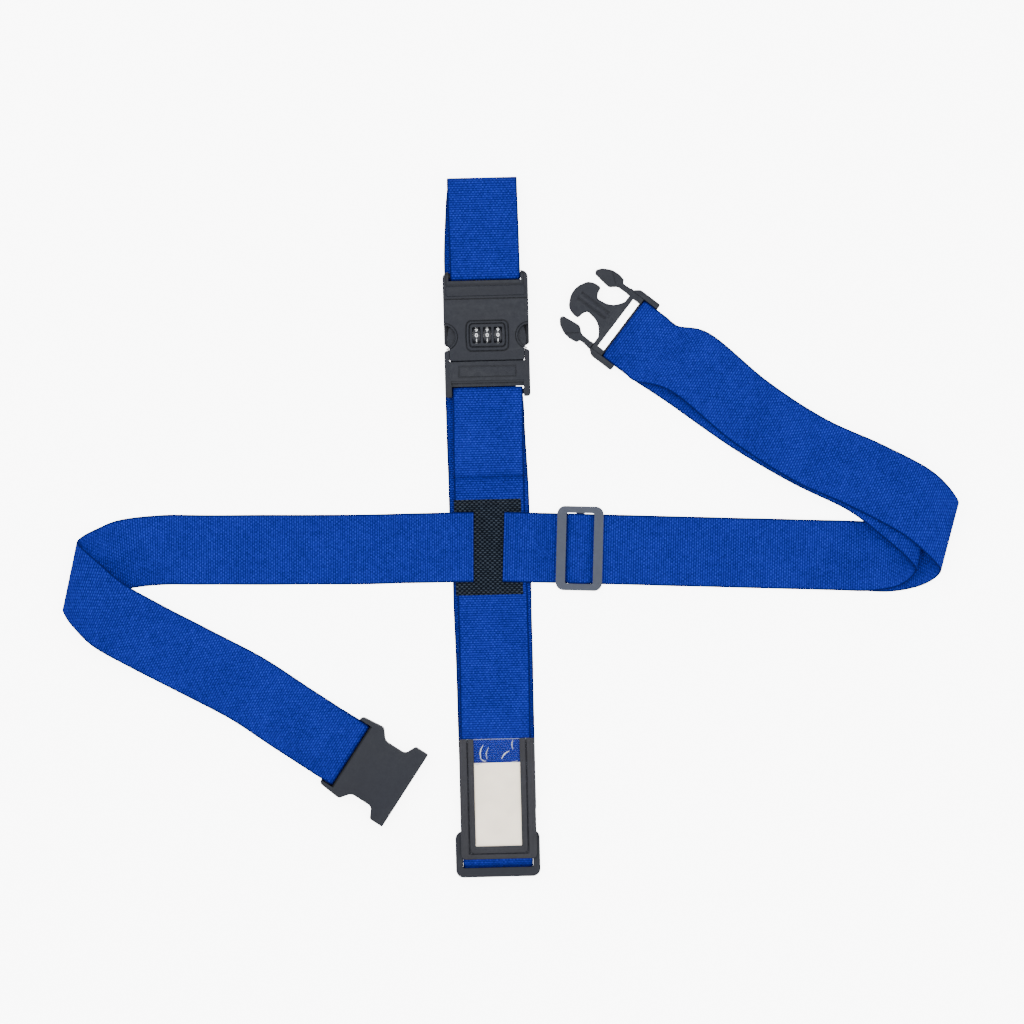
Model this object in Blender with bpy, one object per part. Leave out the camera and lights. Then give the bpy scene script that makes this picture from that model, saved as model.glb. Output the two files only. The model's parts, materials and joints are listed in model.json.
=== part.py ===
"""Luggage strap: a closed vertical strap with a three-dial lock, two side arms with a side-release buckle,
an ID pocket and two adjuster slides, lying folded flat. Metres, +Z up. The origin is the crossing of the
straps, on the resting plane. Dimensions are in millimetres and turned into metres by MM."""

import math

import bmesh
import bpy
from mathutils import Matrix, Vector

MM = 0.001

# Webbing: every strap is the same 50 mm webbing, and touching layers keep a small gap.
WEB_W = 50.0
WEB_T = 1.3
GAP = 0.3
HALF_T = WEB_T / 2
PITCH = WEB_T + GAP
CLEAR = GAP + HALF_T  # from a surface to the middle of webbing that lies on it

# The vertical strap: v runs up it from the crossing, u across it.
STRAP_LEAN = math.radians(1.4)
TOP_FOLD_V = 263.5
BOTTOM_FOLD_V = -235.5
Z_BACK = HALF_T
Z_RETURN = Z_BACK + PITCH
Z_FRONT = Z_RETURN + PITCH

# Bars that webbing is wrapped round
BAR_R = 2.0
WRAP_R = BAR_R + CLEAR

# Combination lock
LOCK_U = 0.9
LOCK_HALF_W = 30.35
LOCK_Z0 = 1.6
LOCK_FLOOR = 3.4
COVER_Z0 = 3.7
COVER_CEILING = 13.0
COVER_TOP = 15.2
LOCK_LOW_V = 132.8
LOCK_TOP_V = 196.4
LOCK_SLOT_V = 187.0
END_BAR_V = 193.4
BAR_Z = 8.4
CAVITY_TOP_V = 184.5
CAVITY_HALF_W = 28.2
NECK_HALF_W = 26.3
NOTCH_LOW_V = 139.2
NOTCH_TOP_V = 145.6
NOTCH_TIP_U = 26.6
RECESS_V = 150.0
RECESS_R = 8.35
DIAL_V = 150.7
DIAL_Z = 9.95
DIAL_R = 6.2
DIAL_W = 5.2
DIAL_PITCH = 7.65
DIAL_MID_U = 0.5
DIAL_BORE_R = 2.6
SHAFT_R = 1.0
CHEEK_IN = 12.3
CHEEK_OUT = 13.7
BEZEL = (-14.2, 15.4, 139.8, 160.6)
BEZEL_TOP = 16.0
PLUG_TOP_V = 132.5
PLUG_LIP_V = 117.1
PLUG_LOW_V = 107.0
PLUG_BAR_V = 110.5
PLUG_Z = (2.2, 14.4)
PLUG_RAIL_U = 26.9
PRONG_Z = (5.2, 12.4)

# Adjuster slide: s runs along the strap, z from the surface under it
SLIDE_HALF_S = 17.1
SLIDE_HALF_W = 30.5
SLIDE_BAR = 6.0
SLIDE_RAIL = 4.6
SLIDE_CENTRE_HALF = 2.5
SLIDE_Z = (1.6, 5.8)
SLIDE_DOUBLE_Z0 = 3.2
SLIDE_CENTRE_Z1 = 3.4
BOTTOM_SLIDE_V = -218.5
RIGHT_SLIDE_X = 63.2

# Crossing patch and ID pocket
PATCH_HALF_V = 34.0
PATCH_HALF_U = 23.9
PATCH_U = -1.4
PATCH_Z = (4.8, 5.6)
POCKET_V = (-219.9, -136.4)
POCKET_HALF_U = 27.0
POCKET_BAND = 10.6
POCKET_STRAP_Z = 7.55
CARD_HALF_U = 18.2
CARD_V = (-214.0, -153.5)

# Arms
ARM_ROOT_Z = 6.55
LEFT_ROOT_X = -12.1
RIGHT_ROOT_X = 9.3
RIGHT_SLOPE = math.radians(-1.45)
RIGHT_Y0 = 0.4

# Side-release buckle, female half: q runs towards the mouth, zero at the mouth
FEMALE_AT = (-60.7, -173.5)
FEMALE_YAW = math.radians(-32.7)
FEMALE_Z1 = 12.4
FEMALE_BAR_Q = -49.5
FEMALE_WALL_Q = -43.3
FEMALE_BAR_Z = 6.2

# Side-release buckle, male half: p runs towards the tip, zero at the strap end of the slot
MALE_AT = (93.9, 156.4)
MALE_YAW = math.radians(142.8)
MALE_Z1 = 10.8
MALE_BAR_P = -4.3
MALE_SLOT = (-0.2, 5.9, 21.0)
MALE_BAR_Z = 5.4
MALE_HALF_W = 29.2

STEPS_PER_SPAN = 4
ARC_STEPS = 8


def clear_scene():
    for old in list(bpy.data.objects):
        bpy.data.objects.remove(old, do_unlink=True)


def collection(name):
    made = bpy.data.collections.new(name)
    bpy.context.scene.collection.children.link(made)
    return made


def material(name, colour, roughness, alpha=1.0):
    made = bpy.data.materials.new(name)
    made.use_nodes = True
    shader = made.node_tree.nodes["Principled BSDF"]
    shader.inputs["Base Color"].default_value = (*colour, 1.0)
    shader.inputs["Roughness"].default_value = roughness
    shader.inputs["Metallic"].default_value = 0.9 if name.startswith("steel") else 0.0
    shader.inputs["Alpha"].default_value = alpha
    return made


def frame_empty(name, x, y, yaw):
    """An empty that holds the pieces of one sub-assembly at its place and heading."""
    empty = bpy.data.objects.new(name, None)
    PARTS.objects.link(empty)
    empty.location = (x * MM, y * MM, 0)
    empty.rotation_euler = (0, 0, yaw)
    return empty


def place(mesh, name, finish, parent=None, pivot=None):
    """The mesh as a named object, with its origin at pivot in the parent's frame."""
    made = bpy.data.objects.new(name, mesh)
    mesh.name = name
    own = finish.copy()
    own.name = f"{name}_{finish.name}"
    mesh.materials.clear()
    mesh.materials.append(own)
    PARTS.objects.link(made)
    made.parent = parent
    if pivot:
        mesh.transform(Matrix.Translation(-Vector(pivot) * MM))
        made.location = Vector(pivot) * MM
    return made


def box_mesh(x, y, z):
    bm = bmesh.new()
    bmesh.ops.create_cube(bm, size=1.0)
    bmesh.ops.scale(bm, vec=((x[1] - x[0]) * MM, (y[1] - y[0]) * MM, (z[1] - z[0]) * MM), verts=bm.verts)
    middle = Vector(((x[0] + x[1]) / 2, (y[0] + y[1]) / 2, (z[0] + z[1]) / 2)) * MM
    bmesh.ops.translate(bm, vec=middle, verts=bm.verts)
    return finished(bm)


def cylinder_mesh(radius, start, end, sides=24):
    """A round bar between two points."""
    start = Vector(start) * MM
    end = Vector(end) * MM
    bm = bmesh.new()
    size = radius * MM
    length = (end - start).length
    bmesh.ops.create_cone(bm, cap_ends=True, segments=sides, radius1=size, radius2=size, depth=length)
    turn = Vector((0, 0, 1)).rotation_difference(end - start).to_matrix().to_4x4()
    bmesh.ops.transform(bm, matrix=Matrix.Translation((start + end) / 2) @ turn, verts=bm.verts)
    return finished(bm)


def finished(bm):
    mesh = bpy.data.meshes.new("shape")
    bm.to_mesh(mesh)
    bm.free()
    return mesh


def plate_mesh(outlines, z0, z1):
    """Closed outlines, the first one outside and the others holes, made a plate from z0 to z1."""
    curve = bpy.data.curves.new("outline", "CURVE")
    curve.dimensions = "2D"
    curve.fill_mode = "BOTH"
    curve.extrude = (z1 - z0) / 2 * MM
    for outline in outlines:
        spline = curve.splines.new("POLY")
        spline.points.add(len(outline) - 1)
        spline.use_cyclic_u = True
        for point, (x, y) in zip(spline.points, outline):
            point.co = (x * MM, y * MM, 0, 1)
    holder = bpy.data.objects.new("outline", curve)
    bpy.context.scene.collection.objects.link(holder)
    graph = bpy.context.evaluated_depsgraph_get()
    mesh = bpy.data.meshes.new_from_object(holder.evaluated_get(graph))
    bpy.data.objects.remove(holder, do_unlink=True)
    bm = bmesh.new()
    bm.from_mesh(mesh)
    bmesh.ops.remove_doubles(bm, verts=bm.verts, dist=0.01 * MM)
    bmesh.ops.translate(bm, vec=(0, 0, (z0 + z1) / 2 * MM), verts=bm.verts)
    bmesh.ops.recalc_face_normals(bm, faces=bm.faces)
    return finished(bm)


def rounded(corners, steps=4):
    """An outline from (x, y, radius) corners, each round one an arc of a few points."""
    points = []
    count = len(corners)
    for i, (x, y, radius) in enumerate(corners):
        corner = Vector((x, y))
        if not radius:
            points.append((x, y))
            continue
        before = (Vector(corners[i - 1][:2]) - corner).normalized()
        after = (Vector(corners[(i + 1) % count][:2]) - corner).normalized()
        half = before.angle(after) / 2
        centre = corner + (before + after).normalized() * radius / math.sin(half)
        start = corner + before * radius / math.tan(half) - centre
        sweep = start.angle_signed(corner + after * radius / math.tan(half) - centre)
        for step in range(steps + 1):
            angle = -sweep * step / steps
            c, s = math.cos(angle), math.sin(angle)
            points.append((centre.x + start.x * c - start.y * s, centre.y + start.x * s + start.y * c))
    return points


def mirrored(half):
    """A symmetric outline from its right half, given from the bottom up, mirrored in x."""
    return list(half) + [(-corner[0], *corner[1:]) for corner in reversed(half)]


def rectangle(x0, x1, y0, y1, radius=0.0):
    return rounded([(x0, y0, radius), (x1, y0, radius), (x1, y1, radius), (x0, y1, radius)])


def tool(mesh, parent):
    made = bpy.data.objects.new("cutter", mesh)
    CUTTERS.objects.link(made)
    made.parent = parent
    made.hide_render = True
    made.display_type = "WIRE"
    return made


def boolean(target, operation, meshes, frame=None):
    """Joins the meshes to the target, or cuts them from it. They are in the frame of the target's parent."""
    for mesh in meshes:
        step = target.modifiers.new(operation.lower(), "BOOLEAN")
        step.operation = operation
        step.object = tool(mesh, frame or target.parent)


def arc(centre, radius, start_deg, end_deg, steps=ARC_STEPS):
    """Points (along, z) round a centre. Zero degrees points along the strap, 90 up."""
    points = []
    for step in range(steps + 1):
        angle = math.radians(start_deg + (end_deg - start_deg) * step / steps)
        points.append((centre[0] + radius * math.cos(angle), centre[1] + radius * math.sin(angle)))
    return points


def ease(start, end, steps=5):
    """Points of a smooth S from one (along, z) to another, without the start."""
    points = []
    for step in range(1, steps + 1):
        t = step / steps
        rise = (end[1] - start[1]) * t * t * (3 - 2 * t)
        points.append((start[0] + (end[0] - start[0]) * t, start[1] + rise))
    return points


def loft(name, middles, widths, alongs, finish, parent=None):
    """Webbing along a path: at each middle point a cut across it, WEB_T thick, with its width vector."""
    bm = bmesh.new()
    rings = []
    for middle, across, along in zip(middles, widths, alongs):
        across = across * WEB_W / 2
        up = across.cross(along).normalized() * HALF_T
        cut = [middle - across - up, middle + across - up, middle + across + up, middle - across + up]
        rings.append([bm.verts.new(corner * MM) for corner in cut])
    for ring, following in zip(rings, rings[1:]):
        for side in range(4):
            bm.faces.new((ring[side], ring[(side + 1) % 4], following[(side + 1) % 4], following[side]))
    bm.faces.new(rings[0][::-1])
    bm.faces.new(rings[-1])
    bmesh.ops.recalc_face_normals(bm, faces=bm.faces)
    return place(finished(bm), name, finish, parent)


def directions(middles):
    """The direction of the path at each of its points."""
    last = len(middles) - 1
    return [(middles[min(i + 1, last)] - middles[max(i - 1, 0)]).normalized() for i in range(last + 1)]


def strap(name, path, parent, lane="y", offset=0.0):
    """Webbing whose path lies in an upright plane. lane is the local axis that it runs along."""
    if lane == "y":
        middles = [Vector((offset, along, z)) for along, z in path]
        widths = [Vector((1, 0, 0))] * len(path)
    else:
        middles = [Vector((along, offset, z)) for along, z in path]
        widths = [Vector((0, 1, 0))] * len(path)
    return loft(name, middles, widths, directions(middles), WEBBING, parent)


def smooth(stations):
    """A Catmull-Rom curve through rows of numbers, with STEPS_PER_SPAN points to a span."""
    rows = [Vector(station) for station in stations]
    rows = [rows[0] * 2 - rows[1]] + rows + [rows[-1] * 2 - rows[-2]]
    points = [rows[1]]
    for a, b, c, d in zip(rows, rows[1:], rows[2:], rows[3:]):
        for step in range(1, STEPS_PER_SPAN + 1):
            t = step / STEPS_PER_SPAN
            square = (2 * a - 5 * b + 4 * c - d) * t * t
            cube = (3 * b - a - 3 * c + d) * t * t * t
            points.append(0.5 * (2 * b + (c - a) * t + square + cube))
    return points


def ribbon(names, stations, breaks=()):
    """Webbing that turns in plan, in sections with a small gap at each station whose number is in breaks.
    A station is x, y, z and the heading of the webbing's width in degrees."""
    rows = smooth(stations)
    middles = [Vector(row[:3]) for row in rows]
    widths = [Vector((math.cos(math.radians(row[3])), math.sin(math.radians(row[3])), 0)) for row in rows]
    alongs = directions(middles)
    for i in (0, -1):
        square = Vector((0, 0, 1)).cross(widths[i])
        alongs[i] = square * math.copysign(1, square.dot(alongs[i]))
    ends = [0, *(station * STEPS_PER_SPAN for station in breaks), len(rows) - 1]
    for name, first, last in zip(names, ends, ends[1:]):
        points = middles[first : last + 1]
        if first:
            points[0] = points[0] + alongs[first] * GAP
        loft(name, points, widths[first : last + 1], alongs[first : last + 1], WEBBING)


def wrap_path(bar, bar_z, end, end_z, tail, far_sign):
    """Webbing sewn round a bar: from the strap over the bar, round it and back below as a short sewn tail.
    far_sign is the side of the bar, along the strap, on which the webbing turns."""
    turn = (bar, bar_z)
    over = [(end, end_z), (bar - far_sign * 4, bar_z + WRAP_R)]
    if far_sign > 0:
        round_bar = arc(turn, WRAP_R, 90, -90)
    else:
        round_bar = arc(turn, WRAP_R, 90, 270)
    return over + round_bar + tail


def build_back_straps(line):
    straight = 240.0
    radius = (BAR_Z + WRAP_R - Z_BACK) / 2
    fold_v = TOP_FOLD_V - HALF_T - radius
    top = BAR_Z + WRAP_R
    fold = [(straight + GAP, top), (fold_v, top)]
    fold += arc((fold_v, top - radius), radius, 75, -75, 10)
    fold += [(fold_v, Z_BACK), (straight + GAP, Z_BACK)]
    strap("strap_top_fold", fold, line)
    strap("strap_back_run", [(straight, Z_BACK), (-225.0, Z_BACK)], line)
    tail = [(END_BAR_V, BAR_Z - WRAP_R)] + ease((END_BAR_V + 2, BAR_Z - WRAP_R), (208.0, top - PITCH))
    tail += [(222.0, top - PITCH)]
    strap("strap_lock_loop", wrap_path(END_BAR_V, BAR_Z, straight, top, tail, -1), line)


def slide_paths(at, floor):
    """Paths of the webbing at a slide: the strap that passes over it, and the end sewn to its bar."""
    over = floor + 5.95
    upper = floor + HALF_T + PITCH
    through = [(at - 17.6, floor + HALF_T), (at - 10.6, floor + HALF_T), (at - 8.6, floor + 2.3)]
    through += [(at - 6.4, floor + 4.7), (at - 3.6, over), (at, over), (at + 3.2, over)]
    through += [(at + 6.2, floor + 4.6), (at + 8.4, floor + 2.9), (at + 10.4, upper), (at + 17.6, upper)]
    half = (SLIDE_CENTRE_Z1 - SLIDE_Z[0]) / 2
    middle = floor + SLIDE_Z[0] + half
    sewn = [(at + 17.6, floor + HALF_T), (at + 3, floor + HALF_T)]
    sewn += arc((at - 2.1, middle), half + CLEAR, 270, 90)
    sewn += [(at + 2.2, middle + half + CLEAR)]
    return through, sewn


def build_front_straps(line):
    through, sewn = slide_paths(BOTTOM_SLIDE_V, PITCH)
    turn_r = PITCH / 2
    turn_v = BOTTOM_FOLD_V + HALF_T + turn_r
    turn = [(-225.0 - GAP, Z_BACK), (turn_v + 2, Z_BACK)] + arc((turn_v, Z_BACK + turn_r), turn_r, 270, 90, 6)
    strap("strap_bottom_turn", turn + through[1:], line)
    join = BOTTOM_SLIDE_V + 17.6 + GAP
    front = [(join, Z_FRONT), (-197.0, Z_FRONT)] + ease((-197.0, Z_FRONT), (-184.0, POCKET_STRAP_Z))
    front += [(-126.0, POCKET_STRAP_Z)] + ease((-126.0, POCKET_STRAP_Z), (-60.0, Z_FRONT))
    front += [(40.0, Z_FRONT)]
    strap("strap_front_run", front, line)
    strap("strap_return_run", sewn[::-1] + [(40.0, Z_RETURN)], line)
    start = 40.0 + GAP
    crest = BAR_Z + WRAP_R
    tether = [(start, Z_FRONT), (47.0, Z_FRONT)] + ease((47.0, Z_FRONT), (92.0, crest), 8)
    tether += [(PLUG_BAR_V, crest)]
    tether += arc((PLUG_BAR_V, BAR_Z), WRAP_R, 78, -78) + [(PLUG_BAR_V, BAR_Z - WRAP_R)]
    tether += ease((PLUG_BAR_V - 4, BAR_Z - WRAP_R), (84.0, Z_RETURN)) + [(start, Z_RETURN)]
    strap("strap_plug_loop", tether, line)


def slide_mesh():
    """An adjuster slide with two slots, its middle at the origin and its strap along +y."""
    inside = SLIDE_HALF_W - SLIDE_RAIL
    edge = rectangle(-SLIDE_HALF_W, SLIDE_HALF_W, -SLIDE_HALF_S, SLIDE_HALF_S, 5.0)
    first = rectangle(-inside, inside, -SLIDE_HALF_S + SLIDE_BAR, -SLIDE_CENTRE_HALF)
    second = rectangle(-inside, inside, SLIDE_CENTRE_HALF, SLIDE_HALF_S - SLIDE_BAR)
    return plate_mesh([edge, first, second], *SLIDE_Z)


def build_slide(name, parent, x, y, floor, turned):
    """A slide whose bar on its +y side clears two layers of webbing. turned lays its strap along +x."""
    made = place(slide_mesh(), name, PLASTIC, parent)
    made.location = (x * MM, y * MM, floor * MM)
    made.rotation_euler = (0, 0, -math.pi / 2 if turned else 0)
    inside = SLIDE_HALF_W - SLIDE_RAIL
    span = (SLIDE_HALF_S - SLIDE_BAR - 1, SLIDE_HALF_S + 1)
    under = box_mesh((-inside, inside), span, (0, SLIDE_DOUBLE_Z0))
    over = box_mesh((-inside, inside), (-SLIDE_CENTRE_HALF - 1, SLIDE_CENTRE_HALF + 1), (SLIDE_CENTRE_Z1, 9))
    boolean(made, "DIFFERENCE", [under, over], made)


def build_lock(line):
    frame = frame_empty("lock_frame", 0, 0, 0)
    frame.parent = line
    frame.location = (LOCK_U * MM, 0, 0)
    half = [(NECK_HALF_W, LOCK_LOW_V, 1.5), (NECK_HALF_W, NOTCH_LOW_V, 0)]
    half.append((NOTCH_TIP_U, (NOTCH_LOW_V + NOTCH_TOP_V) / 2, 0))
    side = [(LOCK_HALF_W, NOTCH_TOP_V, 0), (LOCK_HALF_W, LOCK_TOP_V, 5.0)]
    shell = plate_mesh([rounded(mirrored(half + side))], COVER_Z0, COVER_TOP)
    cover = place(shell, "lock_cover", PLASTIC, frame)
    inside = (-CAVITY_HALF_W, CAVITY_HALF_W)
    cavity = box_mesh(inside, (LOCK_LOW_V - 5, CAVITY_TOP_V), (COVER_Z0 - 2, COVER_CEILING))
    strap_way = box_mesh((-26.2, 26.2), (LOCK_SLOT_V, LOCK_TOP_V + 5), (COVER_Z0 - 2, COVER_TOP + 2))
    boolean(cover, "DIFFERENCE", [cavity, strap_way])
    cheeks = []
    for s in (-1, 1):
        span = (s * CHEEK_IN + DIAL_MID_U, s * CHEEK_OUT + DIAL_MID_U)[::s]
        cheeks.append(box_mesh(span, (146.0, 155.4), (COVER_Z0 + 1, 13.5)))
    bezel = plate_mesh([rectangle(*BEZEL, 3.0)], COVER_TOP - 0.5, BEZEL_TOP)
    bar = cylinder_mesh(BAR_R, (-27, END_BAR_V, BAR_Z), (27, END_BAR_V, BAR_Z), 16)
    boolean(cover, "UNION", cheeks + [bezel, bar])
    holes = []
    for i in range(3):
        u = DIAL_MID_U + (i - 1) * DIAL_PITCH
        span = (DIAL_V - 5.7, DIAL_V + 5.7)
        holes.append(box_mesh((u - 2.85, u + 2.85), span, (COVER_CEILING - 1, BEZEL_TOP + 1)))
    ends = (CHEEK_OUT + 2, DIAL_V, DIAL_Z)
    holes.append(cylinder_mesh(SHAFT_R + GAP, (-ends[0], DIAL_V, DIAL_Z), ends))
    for side_u in (-LOCK_HALF_W, LOCK_HALF_W):
        low = (side_u, RECESS_V, COVER_Z0 + 1)
        holes.append(cylinder_mesh(RECESS_R, low, (side_u, RECESS_V, COVER_TOP + 2), 32))
    holes.append(box_mesh((-40, 40), (176.4, 177.2), (COVER_TOP - 0.6, COVER_TOP + 1)))
    boolean(cover, "DIFFERENCE", holes)
    back = half + [(LOCK_HALF_W, NOTCH_TOP_V, 0), (LOCK_HALF_W, 186.7, 0)]
    place(plate_mesh([rounded(mirrored(back))], LOCK_Z0, LOCK_FLOOR), "lock_base", PLASTIC, frame)
    build_dials(frame)
    build_bolt(frame)
    build_plug(frame)


def build_dials(frame):
    """The shaft, and three dials that each turn on a sleeve round it."""

    def rod(radius, u, half, sides):
        return cylinder_mesh(radius, (u - half, DIAL_V, DIAL_Z), (u + half, DIAL_V, DIAL_Z), sides)

    place(rod(SHAFT_R, DIAL_MID_U, CHEEK_OUT - 0.2, 16), "dial_shaft", STEEL, frame)
    for i in range(3):
        u = DIAL_MID_U + (i - 1) * DIAL_PITCH
        axis = (u, DIAL_V, DIAL_Z)
        dial = place(rod(DIAL_R, u, DIAL_W / 2, 30), f"dial_{i + 1}", PLASTIC, frame, axis)
        boolean(dial, "DIFFERENCE", [rod(DIAL_BORE_R, u, 5, 24)])
        sleeve = place(rod(DIAL_BORE_R - GAP, u, 3.4, 20), f"dial_sleeve_{i + 1}", WHITE, frame, axis)
        boolean(sleeve, "DIFFERENCE", [rod(SHAFT_R + GAP, u, 5, 16)])


def build_bolt(frame):
    """The sprung plate behind the dials that the prongs push up when the number is set."""
    half = [(14.0, 160.0, 0), (22.0, 163.5, 0), (22.0, 167.0, 0), (14.0, 167.0, 0), (14.0, 170.0, 0)]
    place(plate_mesh([rounded(mirrored(half))], 6.0, 9.0), "lock_bolt", WHITE, frame)
    turns, coil_r, per_turn = 5, 2.0, 10
    curve = bpy.data.curves.new("coil", "CURVE")
    curve.dimensions = "3D"
    curve.bevel_depth = 0.35 * MM
    curve.bevel_resolution = 1
    curve.use_fill_caps = True
    spline = curve.splines.new("POLY")
    spline.points.add(turns * per_turn)
    for i, point in enumerate(spline.points):
        angle = 2 * math.pi * i / per_turn
        v = 170.6 + (CAVITY_TOP_V - 171.2) * i / (turns * per_turn)
        point.co = (coil_r * math.cos(angle) * MM, v * MM, (7.5 + coil_r * math.sin(angle)) * MM, 1)
    spring = bpy.data.objects.new("bolt_spring", curve)
    spring.data.materials.append(STEEL)
    PARTS.objects.link(spring)
    spring.parent = frame


def build_plug(frame):
    z0, z1 = PLUG_Z
    rails = []
    for s in (-1, 1):
        corners = [(s * PLUG_RAIL_U, PLUG_LOW_V, 1.0), (s * LOCK_HALF_W, PLUG_LOW_V, 2.2)]
        corners += [(s * LOCK_HALF_W, NOTCH_LOW_V, 1.0), (s * PLUG_RAIL_U, NOTCH_LOW_V, 0.5)]
        rails.append(plate_mesh([rounded(corners[::s])], z0, z1))
    face = box_mesh((-27.5, 27.5), (PLUG_LIP_V, PLUG_TOP_V), (z0 + 0.2, z1 - 0.2))
    plug = place(face, "lock_plug", PLASTIC, frame, (0, PLUG_BAR_V, BAR_Z))
    bar = cylinder_mesh(BAR_R, (-27.5, PLUG_BAR_V, BAR_Z), (27.5, PLUG_BAR_V, BAR_Z), 16)
    boolean(plug, "UNION", rails + [bar])
    boolean(plug, "DIFFERENCE", [box_mesh((-20.7, 20.7), (120.7, 129.2), (z1 - 0.8, z1 + 1))])
    for s, side in ((-1, "left"), (1, "right")):
        arm = [(17.2, 133.0, 0), (21.2, 133.0, 0), (20.6, 140.5, 0), (27.9, 143.4, 1.0), (28.1, 150.0, 0)]
        arm += [(26.5, 157.0, 2.0), (19.0, 159.2, 1.5), (17.2, 150.0, 0)]
        outline = rounded([(s * u, v, r) for u, v, r in arm][::s])
        place(plate_mesh([outline], *PRONG_Z), f"plug_prong_{side}", PLASTIC, frame, (s * 19.2, 133.0, 0))


def build_crossing(line):
    patch = box_mesh((PATCH_U - PATCH_HALF_U, PATCH_U + PATCH_HALF_U), (-PATCH_HALF_V, PATCH_HALF_V), PATCH_Z)
    place(patch, "crossing_patch", PATCH, line)


def build_pocket(line):
    v0, v1 = POCKET_V
    inner = POCKET_HALF_U - POCKET_BAND
    outer = [(-POCKET_HALF_U, v1, 0), (-POCKET_HALF_U, v0, 3.0)]
    outer += [(POCKET_HALF_U, v0, 3.0), (POCKET_HALF_U, v1, 0)]
    rim = rounded(outer + [(inner, v1, 0), (inner, v0 + 7.1, 0), (-inner, v0 + 7.1, 0), (-inner, v1, 0)])
    place(plate_mesh([rim], 9.8, 10.5), "pocket_binding", VINYL, line)
    slot = CARD_HALF_U + 0.4
    floor_v = CARD_V[0] - 0.4
    under = rounded(outer + [(slot, v1, 0), (slot, floor_v, 0), (-slot, floor_v, 0), (-slot, v1, 0)])
    place(plate_mesh([under], 8.5, 8.9), "pocket_base_band", VINYL, line)
    place(box_mesh((-24.5, 24.5), (v0 + 2, v1), (9.2, 9.5)), "pocket_window", CLEAR_VINYL, line)
    place(box_mesh((-CARD_HALF_U, CARD_HALF_U), CARD_V, (8.5, 8.9)), "id_card", CARD, line)


def build_left_arm():
    end = Matrix.Rotation(FEMALE_YAW, 4, "Z")
    near = end @ Vector((FEMALE_BAR_Q - 17.4, 0, 0)) + Vector((*FEMALE_AT, FEMALE_BAR_Z + WRAP_R))
    before = near - end @ Vector((9, 0, 0.8))
    run = [(LEFT_ROOT_X, 0.0, ARM_ROOT_Z, 90), (-28.0, -0.2, ARM_ROOT_Z, 90), (-44.0, -0.6, 3.4, 90)]
    run += [(-62.0, -1.0, 0.65, 90), (-100.0, -1.8, 0.65, 90), (-200.0, -2.1, 0.65, 90)]
    run += [(-233.0, -2.1, 0.65, 90)]
    fold = [(-261.7, -5.2, 1.2, 95), (-281.0, -12.0, 3.4, 90), (-297.4, -19.0, 9.0, 80)]
    fold += [(-296.7, -23.9, 14.2, 76), (-286.5, -34.6, 16.6, 69), (-271.0, -48.5, 15.6, 64)]
    fold += [(-244.5, -63.6, 12.0, 61)]
    back = [(-216.0, -78.5, 8.2, 60.5), (-175.3, -99.9, 4.6, 60), (-141.0, -122.2, 4.6, 58)]
    heading = 90 + math.degrees(FEMALE_YAW)
    back += [(before.x, before.y, before.z, heading), (near.x, near.y, near.z, heading)]
    breaks = (len(run) - 1, len(run) + len(fold) - 1)
    ribbon(("left_arm_run", "left_arm_fold", "left_arm_return"), run + fold + back, breaks)


def build_female():
    frame = frame_empty("female_frame", *FEMALE_AT, FEMALE_YAW)
    start = FEMALE_BAR_Q - 17
    tail_z = FEMALE_BAR_Z + WRAP_R - PITCH
    tail = ease((FEMALE_BAR_Q - 2.5, FEMALE_BAR_Z - WRAP_R), (FEMALE_BAR_Q - 13, tail_z)) + [(start, tail_z)]
    loop = wrap_path(FEMALE_BAR_Q, FEMALE_BAR_Z, start, FEMALE_BAR_Z + WRAP_R, tail, 1)
    strap("left_arm_buckle_loop", loop, frame, "x")
    half = [(0, 30.3, 0), (-10.5, 30.3, 1.2), (-14.5, 22.2, 1.2), (-31, 22.2, 1.2)]
    half += [(-37, 29.8, 1.5), (-54.7, 28.0, 2.5)]
    outline = rounded([(q, -w, r) for q, w, r in reversed(half)] + [(q, w, r) for q, w, r in half])
    pivot = (FEMALE_BAR_Q, 0, FEMALE_BAR_Z)
    body = place(plate_mesh([outline], 0, FEMALE_Z1), "female_buckle", PLASTIC, frame, pivot)
    mouth = box_mesh((FEMALE_WALL_Q + 4, 2), (-20.2, 20.2), (2.3, FEMALE_Z1 - 2.3))
    lips = box_mesh((-12.0, 2), (-27.5, 27.5), (2.3, FEMALE_Z1 - 2.3))
    way = box_mesh((-60, FEMALE_WALL_Q), (-25.6, 25.6), (-1, FEMALE_Z1 + 1))
    boolean(body, "DIFFERENCE", [mouth, lips, way])
    bar = cylinder_mesh(BAR_R, (FEMALE_BAR_Q, -26.5, FEMALE_BAR_Z), (FEMALE_BAR_Q, 26.5, FEMALE_BAR_Z), 16)
    boolean(body, "UNION", [bar])


def right_line_y(x):
    return RIGHT_Y0 + math.tan(RIGHT_SLOPE) * x


def build_right_arm(line):
    through, sewn = slide_paths(RIGHT_SLIDE_X, 0)
    root = [(RIGHT_ROOT_X, ARM_ROOT_Z), (25.0, ARM_ROOT_Z), (28.0, ARM_ROOT_Z)]
    root += ease((28.0, ARM_ROOT_Z), (43.0, HALF_T))
    strap("right_arm_root", root + [(RIGHT_SLIDE_X - 17.6 - GAP, HALF_T)], line, "x")
    strap("right_slide_strap", through, line, "x")
    strap("right_slide_loop", sewn, line, "x")
    start = RIGHT_SLIDE_X + 17.6 + GAP
    strap("right_run_lower", [(start, HALF_T), (180.0, HALF_T), (262.0, HALF_T)], line, "x")
    strap("right_run_upper", [(start, Z_RETURN), (180.0, Z_RETURN), (250.0, Z_RETURN)], line, "x")
    build_slide("right_slide", line, RIGHT_SLIDE_X, 0.0, 0, True)


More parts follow.
